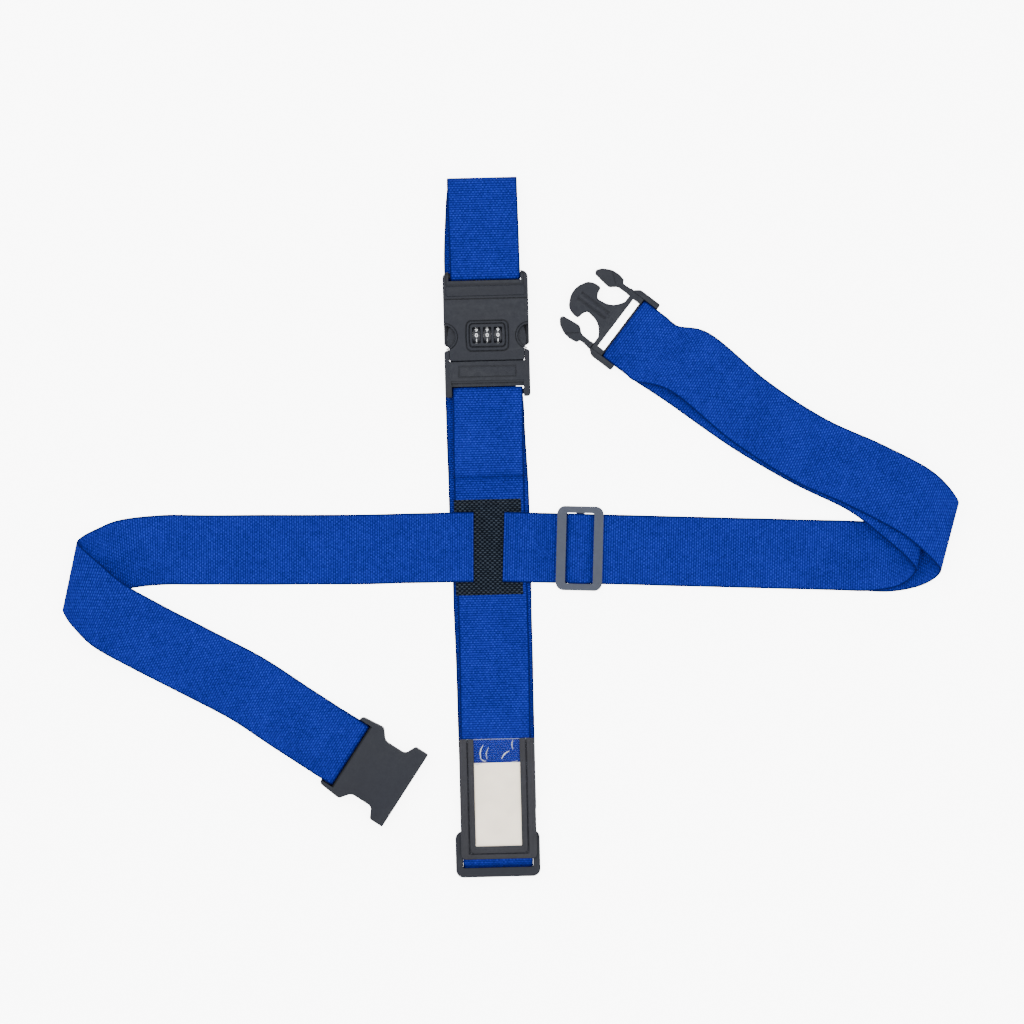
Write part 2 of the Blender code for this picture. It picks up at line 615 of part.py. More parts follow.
def build_right_fold():
    heading = 90 + math.degrees(RIGHT_SLOPE)
    back = Matrix.Rotation(MALE_YAW, 4, "Z")
    bar_heading = math.degrees(MALE_YAW) - 90
    top = back @ Vector((MALE_BAR_P - 17.4, 0, 0)) + Vector((*MALE_AT, MALE_BAR_Z + WRAP_R))
    low = back @ Vector((MALE_BAR_P - 17.4, 0, 0)) + Vector((*MALE_AT, MALE_BAR_Z - WRAP_R))
    nearby = back @ Vector((9, 0, 0))
    outer = [(262.3, right_line_y(262.3), Z_BACK, heading), (286.0, -7.0, 0.65, 88), (309.0, -3.0, 2.4, 84)]
    outer += [(324.6, 4.6, 9.0, 77), (323.4, 12.4, 16.2, 73), (303.0, 31.6, 18.6, 66)]
    outer += [(266.0, 51.4, 16.4, 62)]
    outer_back = [(226.6, 69.4, 11.6, 63), (184.0, 97.2, 8.2, 58), (143.2, 131.0, 8.2, 56)]
    outer_back += [(*(top - nearby), bar_heading), (*top, bar_heading)]
    ribbon(("right_fold_outer", "right_return_upper"), outer + outer_back, (len(outer) - 1,))
    inner = [(250.3, right_line_y(250.3), Z_RETURN, heading), (272.0, -6.4, 2.5, 88), (293.0, -3.2, 3.9, 84)]
    inner += [(307.0, 5.4, 8.6, 78), (306.4, 13.0, 13.6, 73), (290.0, 29.2, 15.4, 66)]
    inner += [(266.0, 48.0, 13.6, 62)]
    inner_back = [(226.6, 67.4, 9.0, 63), (184.0, 92.6, 5.0, 57), (143.2, 121.6, 2.4, 54)]
    inner_back += [(*(low - nearby), bar_heading), (*low, bar_heading)]
    ribbon(("right_fold_inner", "right_return_lower"), inner + inner_back, (len(inner) - 1,))


def build_male():
    frame = frame_empty("male_frame", *MALE_AT, MALE_YAW)
    start = MALE_BAR_P - 17
    legs = [(start, MALE_BAR_Z - WRAP_R), (MALE_BAR_P - 4, MALE_BAR_Z - WRAP_R)]
    loop = wrap_path(MALE_BAR_P, MALE_BAR_Z, start, MALE_BAR_Z + WRAP_R, legs[::-1], 1)
    strap("right_arm_buckle_loop", loop, frame, "x")
    slot_p0, slot_p1, slot_w = MALE_SLOT
    slot = [(slot_p1, slot_w, 0), (slot_p0, slot_w, 0), (slot_p0, 25.6, 0), (-12.0, 25.6, 0)]
    sides = [(-12.0, 29.2, 1.5), (5.6, 29.2, 1.0), (9.6, 26.0, 0), (9.6, 21.2, 0), (8.4, 19.0, 0)]
    tongue = [(11.0, 12.6, 0), (17.0, 7.0, 0), (26.6, 5.6, 0), (29.8, 13.8, 1.0), (34.6, 13.6, 0)]
    tongue += [(39.6, 11.2, 1.0), (43.6, 4.6, 0)]
    half = slot + sides + tongue
    outline = rounded([(p, -w, r) for p, w, r in half] + [(p, w, r) for p, w, r in reversed(half)])
    blank = plate_mesh([outline], 1.4, MALE_Z1 - 1.4)
    body = place(blank, "male_buckle", PLASTIC, frame, (MALE_BAR_P, 0, MALE_BAR_Z))
    rails = [box_mesh((-12.0, 4.6), (s * 25.6, s * MALE_HALF_W)[::s], (0.4, MALE_Z1)) for s in (-1, 1)]
    bar = cylinder_mesh(BAR_R, (MALE_BAR_P, -26.5, MALE_BAR_Z), (MALE_BAR_P, 26.5, MALE_BAR_Z), 16)
    ribs = [box_mesh((12.0, 39.0), (w - 0.9, w + 0.9), (MALE_Z1 - 2, MALE_Z1 - 0.4)) for w in (-2.6, 2.6)]
    boolean(body, "UNION", rails + [bar] + ribs)
    for s, side in ((-1, "left"), (1, "right")):
        arm = [(9.9, 21.6, 0), (9.9, 25.6, 0), (18.4, 25.2, 0), (19.6, 27.8, 0.6), (24.4, 28.8, 0)]
        arm += [(30.6, 28.2, 1.5), (37.0, 24.8, 0), (39.8, 21.2, 0.8), (38.6, 18.8, 0.8)]
        arm += [(28.0, 17.4, 0.8), (24.8, 17.2, 0), (20.2, 21.2, 0)]
        outline = rounded([(p, s * w, r) for p, w, r in arm][:: -s])
        prong = plate_mesh([outline], 2.2, MALE_Z1 - 2.2)
        place(prong, f"male_prong_{side}", PLASTIC, frame, (9.9, s * 23.3, 0))


clear_scene()
PARTS = collection("luggage_strap")
CUTTERS = collection("cutters")
CUTTERS.hide_render = True
WEBBING = material("blue_webbing", (0.010, 0.060, 0.360), 0.85)
PLASTIC = material("charcoal_plastic", (0.045, 0.048, 0.056), 0.5)
PATCH = material("black_patch_weave", (0.012, 0.013, 0.018), 0.9)
VINYL = material("black_vinyl", (0.020, 0.021, 0.024), 0.45)
CLEAR_VINYL = material("clear_vinyl", (0.9, 0.92, 0.94), 0.1, 0.2)
CARD = material("cream_card", (0.88, 0.82, 0.72), 0.8)
STEEL = material("steel", (0.55, 0.55, 0.56), 0.35)
WHITE = material("white_acetal", (0.75, 0.75, 0.72), 0.5)

vertical_line = frame_empty("vertical_line", 0, 0, STRAP_LEAN)
right_line = frame_empty("right_line", 0, RIGHT_Y0, RIGHT_SLOPE)
build_back_straps(vertical_line)
build_front_straps(vertical_line)
build_slide("bottom_slide", vertical_line, 0.0, BOTTOM_SLIDE_V, PITCH, False)
build_lock(vertical_line)
build_crossing(vertical_line)
build_pocket(vertical_line)
build_left_arm()
build_female()
build_right_arm(right_line)
build_right_fold()
build_male()
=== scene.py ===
"""Luggage strap: webbing, lock, buckles, slides and a card pocket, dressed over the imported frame.

Each sub-assembly is shaped in millimetres in a frame of its own and put in place in its mesh.
"""

import json
import logging
import math
from collections.abc import Callable, Iterable, Sequence
from dataclasses import dataclass
from enum import Enum

import bmesh
import bpy
from mathutils import Matrix, Vector, noise


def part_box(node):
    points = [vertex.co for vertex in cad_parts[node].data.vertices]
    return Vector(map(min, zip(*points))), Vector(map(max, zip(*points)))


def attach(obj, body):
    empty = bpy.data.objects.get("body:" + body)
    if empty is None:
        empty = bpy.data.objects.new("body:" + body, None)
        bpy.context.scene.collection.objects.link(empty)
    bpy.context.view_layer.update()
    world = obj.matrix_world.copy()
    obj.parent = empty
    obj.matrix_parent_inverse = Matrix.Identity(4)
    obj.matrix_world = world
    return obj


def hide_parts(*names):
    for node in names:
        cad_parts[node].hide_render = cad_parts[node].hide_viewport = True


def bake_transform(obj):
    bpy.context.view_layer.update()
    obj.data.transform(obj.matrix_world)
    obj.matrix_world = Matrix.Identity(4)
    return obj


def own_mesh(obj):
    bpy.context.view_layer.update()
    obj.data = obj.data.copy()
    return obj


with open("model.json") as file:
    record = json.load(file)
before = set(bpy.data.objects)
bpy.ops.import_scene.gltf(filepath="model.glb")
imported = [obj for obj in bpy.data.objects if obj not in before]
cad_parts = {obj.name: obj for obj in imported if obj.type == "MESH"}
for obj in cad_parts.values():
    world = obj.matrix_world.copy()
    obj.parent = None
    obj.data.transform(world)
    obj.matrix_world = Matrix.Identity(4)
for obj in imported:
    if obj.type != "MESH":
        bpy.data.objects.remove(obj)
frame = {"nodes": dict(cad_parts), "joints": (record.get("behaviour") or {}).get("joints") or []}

MM = 0.001
JOINTS = {joint["name"]: joint for joint in frame["joints"]}
UP = Vector((0.0, 0.0, 1.0))

log = logging.getLogger("luggage_strap")

Socket = bpy.types.NodeSocket
Value = Socket | float | tuple[float, ...]
Colour = tuple[float, float, float]


# ---------------------------------------------------------------- places


def joint_place(name: str) -> Vector:
    """Where a joint's axis is, in millimetres."""
    return Vector(JOINTS[name]["pos_m"]) / MM


def joint_axis(name: str) -> Vector:
    """The direction of a joint's axis, level with the floor."""
    return Vector(JOINTS[name]["axis"]).normalized()


def upright_frame(x_axis: Vector, origin: Vector) -> Matrix:
    """A frame that stands on the floor.

    Args:
        x_axis: the direction of its x axis, level.
        origin: where its origin is, in millimetres.

    Returns:
        The matrix from the frame to the whole object.
    """
    turn = Matrix((x_axis, UP.cross(x_axis), UP)).transposed().to_4x4()
    return Matrix.Translation(origin) @ turn


def buckle_frame(joint: str, bar_at: float) -> Matrix:
    """A buckle half's frame, x along the strap towards the buckle's front.

    Args:
        joint: the hinge whose axis is the bar that the webbing holds.
        bar_at: where the bar is on x, in millimetres.

    Returns:
        The matrix from the frame to the whole object.
    """
    axis = joint_axis(joint)
    forward = Vector((-axis.y, axis.x, 0.0))
    origin = joint_place(joint) - forward * bar_at
    return upright_frame(forward, Vector((origin.x, origin.y, 0.0)))


def box_middle(node: str) -> Vector:
    """The middle of a CAD node's box, in millimetres."""
    low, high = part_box(node)
    return (Vector(low) + Vector(high)) / 2 / MM


UP_STRAP = joint_axis("bottom_slide_travel")
LINE = upright_frame(Vector((UP_STRAP.y, -UP_STRAP.x, 0.0)), Vector())
DIAL_MID_U = 0.5
LOCK_U = (LINE.inverted() @ joint_place("dial_2_spin")).x - DIAL_MID_U
LOCK = LINE @ Matrix.Translation((LOCK_U, 0.0, 0.0))
ALONG_RIGHT = joint_axis("right_slide_travel")
RIGHT_SLIDE_X = 63.2
SLIDE_MIDDLE = box_middle("right_slide")
RIGHT = upright_frame(
    ALONG_RIGHT, Vector((SLIDE_MIDDLE.x, SLIDE_MIDDLE.y, 0.0)) - ALONG_RIGHT * RIGHT_SLIDE_X
)
FEMALE_BAR_Q = -49.5
FEMALE = buckle_frame("female_buckle_swivel", FEMALE_BAR_Q)
MALE_BAR_P = -4.3
MALE = buckle_frame("male_buckle_swivel", MALE_BAR_P)
BOTTOM_SLIDE_V = (LINE.inverted() @ box_middle("bottom_slide")).y


# ---------------------------------------------------------------- node graphs


class Graph:
    """Adds and joins the nodes of one material or node group."""

    def __init__(self, tree: bpy.types.NodeTree) -> None:
        """Take the tree that the nodes go in."""
        self.tree = tree

    def put(self, socket: Socket, value: Value) -> None:
        """Join a value to an input, or set it there when it is a constant."""
        if isinstance(value, bpy.types.NodeSocket):
            self.tree.links.new(value, socket)
        elif isinstance(value, tuple) and len(value) == 3 and socket.type == "RGBA":
            socket.default_value = (*value, 1.0)
        else:
            socket.default_value = value

    def node(
        self, kind: str, inputs: dict[str | int, Value] | None = None, **settings: object
    ) -> bpy.types.Node:
        """Add a node.

        Args:
            kind: the node's type name, without its ShaderNode prefix.
            inputs: values or sockets for its inputs, by name or number.
            settings: the node's own properties.

        Returns:
            The new node.
        """
        made = self.tree.nodes.new(f"ShaderNode{kind}")
        for name, value in settings.items():
            setattr(made, name, value)
        for key, value in (inputs or {}).items():
            self.put(made.inputs[key], value)
        return made

    def math(self, operation: str, *values: Value) -> Socket:
        """The result of a Math node on one, two or three values."""
        return self.node("Math", dict(enumerate(values)), operation=operation).outputs[0]

    def fit(
        self, value: Value, low: float, high: float, to_low: float = 0.0, to_high: float = 1.0
    ) -> Socket:
        """Map a value's range to another one, clamped at its ends."""
        inputs = {"Value": value, "From Min": low, "From Max": high, "To Min": to_low, "To Max": to_high}
        return self.node("MapRange", inputs).outputs["Result"]

    def mix(self, share: Value, first: Value, second: Value) -> Socket:
        """A colour between two others, by a share from 0 to 1."""
        mixed = self.node("Mix", data_type="RGBA")
        self.put(mixed.inputs[0], share)
        self.put(mixed.inputs[6], first)
        self.put(mixed.inputs[7], second)
        return mixed.outputs[2]

    def shade(self, colour: Value, strength: Value) -> Socket:
        """A colour made lighter or darker by a factor."""
        scaled = self.node("VectorMath", {0: colour, 3: strength}, operation="SCALE")
        return scaled.outputs[0]

    def noise(self, vector: Value, scale: float, detail: float = 2.0, roughness: float = 0.5) -> Socket:
        """The value of a Noise texture."""
        inputs = {"Vector": vector, "Scale": scale, "Detail": detail, "Roughness": roughness}
        return self.node("TexNoise", inputs).outputs[0]


def new_group(
    name: str, inputs: dict[str, float | None], outputs: Sequence[str]
) -> tuple[Graph, bpy.types.Node]:
    """Start a shader node group.

    Args:
        name: the group's name.
        inputs: its inputs, each with a default number, or None for a vector.
        outputs: the names of its number outputs.

    Returns:
        The graph inside the group and its input node.
    """
    tree = bpy.data.node_groups.new(name, "ShaderNodeTree")
    for key, default in inputs.items():
        kind = "NodeSocketVector" if default is None else "NodeSocketFloat"
        socket = tree.interface.new_socket(key, in_out="INPUT", socket_type=kind)
        if default is not None:
            socket.default_value = default
    for key in outputs:
        tree.interface.new_socket(key, in_out="OUTPUT", socket_type="NodeSocketFloat")
    return Graph(tree), tree.nodes.new("NodeGroupInput")


def end_group(graph: Graph, results: dict[str, Socket]) -> bpy.types.NodeTree:
    """Join the group's outputs and return its tree."""
    out = graph.tree.nodes.new("NodeGroupOutput")
    for key, value in results.items():
        graph.put(out.inputs[key], value)
    return graph.tree


def weave_group() -> bpy.types.NodeTree:
    """A plain weave of two yarns, read from flat cloth coordinates in metres.

    Returns:
        A group that gives the yarns' height, how much weft shows, and each crossing's own shade.
    """
    graph, source = new_group(
        "plain_weave",
        {"Cloth": None, "Across": 0.001, "Along": 0.001, "Slub": 0.1},
        ("Height", "Weft", "Yarn", "Row"),
    )
    wobble = graph.node("TexNoise", {"Vector": source.outputs["Cloth"], "Scale": 420.0, "Detail": 1.0})
    drift = graph.node(
        "VectorMath", {0: wobble.outputs["Color"], 1: (0.5, 0.5, 0.5)}, operation="SUBTRACT"
    )
    spread = graph.node("VectorMath", {0: drift.outputs[0], 3: source.outputs["Slub"]}, operation="SCALE")
    axes = graph.node("SeparateXYZ", {0: source.outputs["Cloth"]})
    off = graph.node("SeparateXYZ", {0: spread.outputs[0]})
    across = graph.math(
        "ADD", graph.math("DIVIDE", axes.outputs[0], source.outputs["Across"]), off.outputs[0]
    )
    along = graph.math(
        "ADD", graph.math("DIVIDE", axes.outputs[1], source.outputs["Along"]), off.outputs[1]
    )
    column = graph.math("FLOOR", across)
    row = graph.math("FLOOR", along)

    def yarn(own: Socket, other: Socket, turn: Socket, lift: float) -> Socket:
        """One yarn's height: round across itself, and over or under the other one."""
        body = graph.math(
            "POWER", graph.math("SINE", graph.math("MULTIPLY", graph.math("FRACT", own), math.pi)), 0.6
        )
        phase = graph.math(
            "MULTIPLY", graph.math("ADD", graph.math("SUBTRACT", other, 0.5), turn), math.pi
        )
        wave = graph.math("MULTIPLY_ADD", graph.math("COSINE", phase), lift, 0.5)
        return graph.math("MULTIPLY", body, wave)

    warp = yarn(across, along, column, 0.5)
    weft = yarn(along, across, row, -0.5)
    cell = graph.node("CombineXYZ", {0: column, 1: row})
    shade = graph.node("TexWhiteNoise", {"Vector": cell.outputs[0]})
    results = {
        "Height": graph.math("MAXIMUM", warp, weft),
        "Weft": graph.fit(graph.math("SUBTRACT", weft, warp), -0.1, 0.3),
        "Yarn": shade.outputs["Value"],
        "Row": graph.math("SINE", graph.math("MULTIPLY", graph.math("FRACT", along), math.pi)),
    }
    return end_group(graph, results)


def grain_group() -> bpy.types.NodeTree:
    """The fine grain and the flow marks of a moulded or calendered surface.

    Returns:
        A group that gives a height and a slow change of tone.
    """
    graph, source = new_group(
        "surface_grain", {"Place": None, "Grain": 2600.0, "Flow": 40.0}, ("Height", "Tone")
    )
    fine = graph.node(
        "TexNoise", {"Vector": source.outputs["Place"], "Scale": source.outputs["Grain"], "Detail": 2.0}
    )
    pits = graph.node("TexVoronoi", {"Vector": source.outputs["Place"], "Scale": source.outputs["Grain"]})
    slow = graph.node(
        "TexNoise", {"Vector": source.outputs["Place"], "Scale": source.outputs["Flow"], "Detail": 3.0}
    )
    height = graph.math("MULTIPLY_ADD", pits.outputs["Distance"], 0.5, fine.outputs[0])
    return end_group(graph, {"Height": height, "Tone": slow.outputs[0]})


def wear_group() -> bpy.types.NodeTree:
    """Rubbed edges, broken up along their length.

    Returns:
        A group that gives a mask, 1 where an edge is worn.
    """
    graph, source = new_group("edge_wear", {"Place": None, "Reach": 0.04}, ("Worn",))
    sharp = graph.node("NewGeometry").outputs["Pointiness"]
    limit = graph.math("ADD", source.outputs["Reach"], 0.5)
    edge = graph.node("MapRange", {"Value": sharp, "From Min": 0.5, "From Max": limit}).outputs["Result"]
    broken = graph.fit(graph.noise(source.outputs["Place"], 260.0, 4.0, 0.65), 0.38, 0.72)
    return end_group(graph, {"Worn": graph.math("MULTIPLY", edge, broken)})


GROUP_MAKERS: dict[str, Callable[[], bpy.types.NodeTree]] = {
    "weave": weave_group,
    "grain": grain_group,
    "wear": wear_group,
}


class Effects:
    """The shared node groups, each built once."""

    def __init__(self) -> None:
        """Build every group."""
        self.trees = {name: make() for name, make in GROUP_MAKERS.items()}

    def add(self, graph: Graph, name: str, inputs: dict[str, Value]) -> bpy.types.Node:
        """Place a group in a material and set its inputs."""
        made = graph.tree.nodes.new("ShaderNodeGroup")
        made.node_tree = self.trees[name]
        for key, value in inputs.items():
            graph.put(made.inputs[key], value)
        return made


# ---------------------------------------------------------------- finishes


@dataclass(frozen=True)
class Finish:
    """What one surface is made of.

    Attributes:
        name: the material's name.
        slot: the record's slot that it belongs to; not used.
        colour: its main colour, linear.
        roughness: the roughness of its smooth parts.
    """

    name: str
    slot: str
    colour: Colour
    roughness: float

    def build(self, effects: Effects) -> bpy.types.Material:
        """Make the material."""
        made = bpy.data.materials.new(self.name)
        made.use_nodes = True
        graph = Graph(made.node_tree)
        self.dress(graph, made.node_tree.nodes["Principled BSDF"], effects)
        return made

    def dress(self, graph: Graph, shader: bpy.types.Node, effects: Effects) -> None:
        """Set the shader's colour, roughness and relief."""
        raise NotImplementedError

    def relief(
        self, graph: Graph, shader: bpy.types.Node, height: Value, depth_mm: float, strength: float
    ) -> None:
        """Join a height to the shader's normal, its depth in millimetres."""
        bump = graph.node("Bump", {"Height": height, "Distance": depth_mm * MM, "Strength": strength})
        graph.put(shader.inputs["Normal"], bump.outputs[0])


@dataclass(frozen=True)
class WovenFinish(Finish):
    """Woven yarn, read from a piece's flat cloth coordinates.

    Attributes:
        gap_shade: the painted shade down between the yarns and between the rows.
        weft: the painted highlight on the cross yarns that show.
        across: the pitch of the yarns across the cloth, in millimetres.
        along: the pitch of the rows along it.
        relief_mm: how deep the weave is.
        dark_edge_from: half the width at which the webbing starts to turn darker towards its edge.
        rows: how much the weave reads as ribs across the cloth, through the painted shade between the rows,
            from 0 to 1.
    """

    gap_shade: Colour
    weft: Colour
    across: float
    along: float
    relief_mm: float
    dark_edge_from: float
    rows: float = 0.55

    def dress(self, graph: Graph, shader: bpy.types.Node, effects: Effects) -> None:
        """Yarns with their own tones, a painted highlight on the cross yarns that show, painted shade in
        the gaps between the yarns and rows, and a darker edge on both sides.
        """
        cloth = graph.node("UVMap", uv_map="cloth").outputs[0]
        inputs = {"Cloth": cloth, "Across": self.across * MM, "Along": self.along * MM, "Slub": 0.34}
        weave = effects.add(graph, "weave", inputs)
        fibre = graph.noise(cloth, 3400.0, 2.0, 0.6)
        # Painted highlight: the cross yarns that show are mixed towards a lighter colour.
        yarn = graph.mix(weave.outputs["Weft"], self.colour, self.weft)
        ridge = graph.math(
            "MULTIPLY_ADD", weave.outputs["Row"], self.rows,
            graph.math("MULTIPLY", weave.outputs["Height"], 1.0 - self.rows)
        )
        # Painted shade: the gaps between the yarns and the troughs between the rows are mixed towards the
        # dark gap colour.
        body = graph.mix(graph.fit(ridge, 0.05, 0.95), self.gap_shade, yarn)
        slow = graph.noise(cloth, 34.0, 3.0, 0.55)
        tone = graph.math(
            "MULTIPLY_ADD", weave.outputs["Yarn"], 0.5, graph.fit(slow, 0.3, 0.7, 0.72, 0.98)
        )
        toned = graph.shade(body, graph.math("MULTIPLY_ADD", fibre, 0.2, tone))
        # The webbing turns darker towards both edges, mixed to the gap colour.
        side = graph.math("ABSOLUTE", graph.node("SeparateXYZ", {0: cloth}).outputs[0])
        edge = graph.fit(side, (self.dark_edge_from - 0.5) * MM, (self.dark_edge_from + 0.3) * MM)
        graph.put(
            shader.inputs["Base Color"], graph.mix(graph.math("MULTIPLY", edge, 0.92), toned, self.gap_shade)
        )
        graph.put(
            shader.inputs["Roughness"], graph.fit(weave.outputs["Height"], 0.0, 1.0, 0.98, self.roughness)
        )
        shader.inputs["Specular IOR Level"].default_value = 0.04
        height = graph.math("MULTIPLY_ADD", fibre, 0.25, weave.outputs["Height"])
        self.relief(graph, shader, height, self.relief_mm, 0.75)


@dataclass(frozen=True)
class MouldedFinish(Finish):
    """Moulded plastic with a spark grain, flow marks and rubbed edges.

    Attributes:
        worn: the colour of a rubbed edge.
        grain: how fine the grain is, in grains a metre.
        relief_mm: how deep the grain is.
    """

    worn: Colour
    grain: float = 2400.0
    relief_mm: float = 0.03

    def dress(self, graph: Graph, shader: bpy.types.Node, effects: Effects) -> None:
        """A grained surface whose edges are a little lighter and smoother."""
        place = graph.node("TexCoord").outputs["Object"]
        grain = effects.add(graph, "grain", {"Place": place, "Grain": self.grain, "Flow": 46.0})
        wear = effects.add(graph, "wear", {"Place": place, "Reach": 0.05})
        toned = graph.shade(self.colour, graph.fit(grain.outputs["Tone"], 0.3, 0.7, 0.93, 1.08))
        worn = graph.math("MULTIPLY", wear.outputs["Worn"], 0.35)
        graph.put(shader.inputs["Base Color"], graph.mix(worn, toned, self.worn))
        rough = graph.fit(grain.outputs["Tone"], 0.3, 0.7, self.roughness - 0.03, self.roughness + 0.04)
        graph.put(shader.inputs["Roughness"], graph.math("MULTIPLY_ADD", worn, -0.15, rough))
        shader.inputs["Specular IOR Level"].default_value = 0.18
        self.relief(graph, shader, grain.outputs["Height"], self.relief_mm, 0.4)


@dataclass(frozen=True)
class VinylFinish(Finish):
    """Soft calendered vinyl with a leather-like pebble grain."""

    def dress(self, graph: Graph, shader: bpy.types.Node, effects: Effects) -> None:
        """Pebbles in cells, smoother on their tops, with painted shade in the valleys between them."""
        place = graph.node("TexCoord").outputs["Object"]
        grain = effects.add(graph, "grain", {"Place": place, "Grain": 1500.0, "Flow": 60.0})
        cells = graph.node(
            "TexVoronoi", {"Vector": place, "Scale": 900.0}, feature="DISTANCE_TO_EDGE"
        ).outputs[0]
        pebble = graph.fit(cells, 0.0, 0.12)
        tone = graph.fit(grain.outputs["Tone"], 0.3, 0.7, 0.8, 1.2)
        # Painted shade: the colour darkens towards the valleys between the pebbles.
        graph.put(
            shader.inputs["Base Color"],
            graph.shade(self.colour, graph.math("MULTIPLY", tone, graph.fit(pebble, 0.0, 1.0, 0.7, 1.0)))
        )
        graph.put(
            shader.inputs["Roughness"], graph.fit(pebble, 0.0, 1.0, self.roughness + 0.2, self.roughness)
        )
        shader.inputs["Specular IOR Level"].default_value = 0.25
        self.relief(
            graph, shader, graph.math("MULTIPLY_ADD", grain.outputs["Height"], 0.3, pebble), 0.06, 0.5
        )


@dataclass(frozen=True)
class FilmFinish(Finish):
    """Clear film, with painted highlights along its creases.

    Attributes:
        alpha: how much the flat film covers what is behind it.
    """

    alpha: float

    def dress(self, graph: Graph, shader: bpy.types.Node, effects: Effects) -> None:
        """Nearly clear, with painted highlights that make its creases and its open edge milky, and a soft
        ripple in its gloss.
        """
        place = graph.node("TexCoord").outputs["Object"]
        # Painted highlight: along the marked creases the film covers more and turns whiter.
        crease_highlight = graph.node("Attribute", attribute_name="crease_highlight").outputs["Fac"]
        dust = graph.fit(graph.noise(place, 700.0, 2.0, 0.7), 0.66, 0.78)
        cover = graph.math("MULTIPLY_ADD", crease_highlight, 0.8, self.alpha)
        graph.put(
            shader.inputs["Alpha"],
            graph.math("MINIMUM", graph.math("MULTIPLY_ADD", dust, 0.03, cover), 1.0)
        )
        graph.put(shader.inputs["Base Color"], graph.mix(crease_highlight, self.colour, (0.95, 0.97, 1.0)))
        graph.put(
            shader.inputs["Roughness"], graph.fit(dust, 0.0, 1.0, self.roughness, self.roughness + 0.2)
        )
        shader.inputs["Specular IOR Level"].default_value = 0.2
        self.relief(graph, shader, graph.noise(place, 120.0, 3.0, 0.5), 0.5, 0.35)


@dataclass(frozen=True)
class CardFinish(Finish):
    """Uncoated card stock with paper fibres."""

    def dress(self, graph: Graph, shader: bpy.types.Node, effects: Effects) -> None:
        """Fibres and a faint mottling."""
        place = graph.node("TexCoord").outputs["Object"]
        grain = effects.add(graph, "grain", {"Place": place, "Grain": 3200.0, "Flow": 70.0})
        fibre = graph.noise(
            graph.node("Mapping", {"Vector": place, "Scale": (1.0, 0.25, 1.0)}).outputs[0], 1500.0, 3.0,
            0.6
        )
        tone = graph.fit(grain.outputs["Tone"], 0.3, 0.7, 0.92, 1.04)
        graph.put(
            shader.inputs["Base Color"],
            graph.shade(self.colour, graph.math("MULTIPLY_ADD", fibre, 0.08, tone))
        )
        graph.put(
            shader.inputs["Roughness"],
            graph.fit(fibre, 0.3, 0.7, self.roughness - 0.05, self.roughness + 0.05)
        )
        self.relief(graph, shader, graph.math("ADD", fibre, grain.outputs["Height"]), 0.03, 0.4)


@dataclass(frozen=True)
class ThreadFinish(Finish):
    """Twisted sewing thread."""

    def dress(self, graph: Graph, shader: bpy.types.Node, effects: Effects) -> None:
        """Fine twisted plies, with painted shade in the grooves between them."""
        place = graph.node("TexCoord").outputs["Object"]
        ply = graph.node(
            "TexWave", {"Vector": place, "Scale": 900.0, "Distortion": 2.0}, bands_direction="DIAGONAL"
        ).outputs["Fac"]
        fuzz = graph.noise(place, 4000.0, 2.0, 0.6)
        # Painted shade: the colour darkens in the grooves between the plies.
        graph.put(
            shader.inputs["Base Color"],
            graph.shade(
                self.colour, graph.math("MULTIPLY_ADD", ply, 0.35, graph.fit(fuzz, 0.3, 0.7, 0.65, 0.95))
            )
        )
        graph.put(
            shader.inputs["Roughness"],
            graph.fit(fuzz, 0.3, 0.7, self.roughness - 0.1, self.roughness + 0.1)
        )
        shader.inputs["Specular IOR Level"].default_value = 0.06
        self.relief(graph, shader, ply, 0.05, 0.5)


@dataclass(frozen=True)
class SteelFinish(Finish):
    """Bright drawn steel with fine draw lines."""

    def dress(self, graph: Graph, shader: bpy.types.Node, effects: Effects) -> None:
        """Draw lines in the gloss."""
        place = graph.node("TexCoord").outputs["Object"]
        lines = graph.noise(
            graph.node("Mapping", {"Vector": place, "Scale": (0.05, 1.0, 1.0)}).outputs[0], 5200.0, 2.0,
            0.5
        )
        graph.put(
            shader.inputs["Base Color"], graph.shade(self.colour, graph.fit(lines, 0.3, 0.7, 0.85, 1.1))
        )
        graph.put(
            shader.inputs["Roughness"],
            graph.fit(lines, 0.3, 0.7, self.roughness - 0.08, self.roughness + 0.12)
        )
        shader.inputs["Metallic"].default_value = 1.0
        self.relief(graph, shader, lines, 0.01, 0.3)


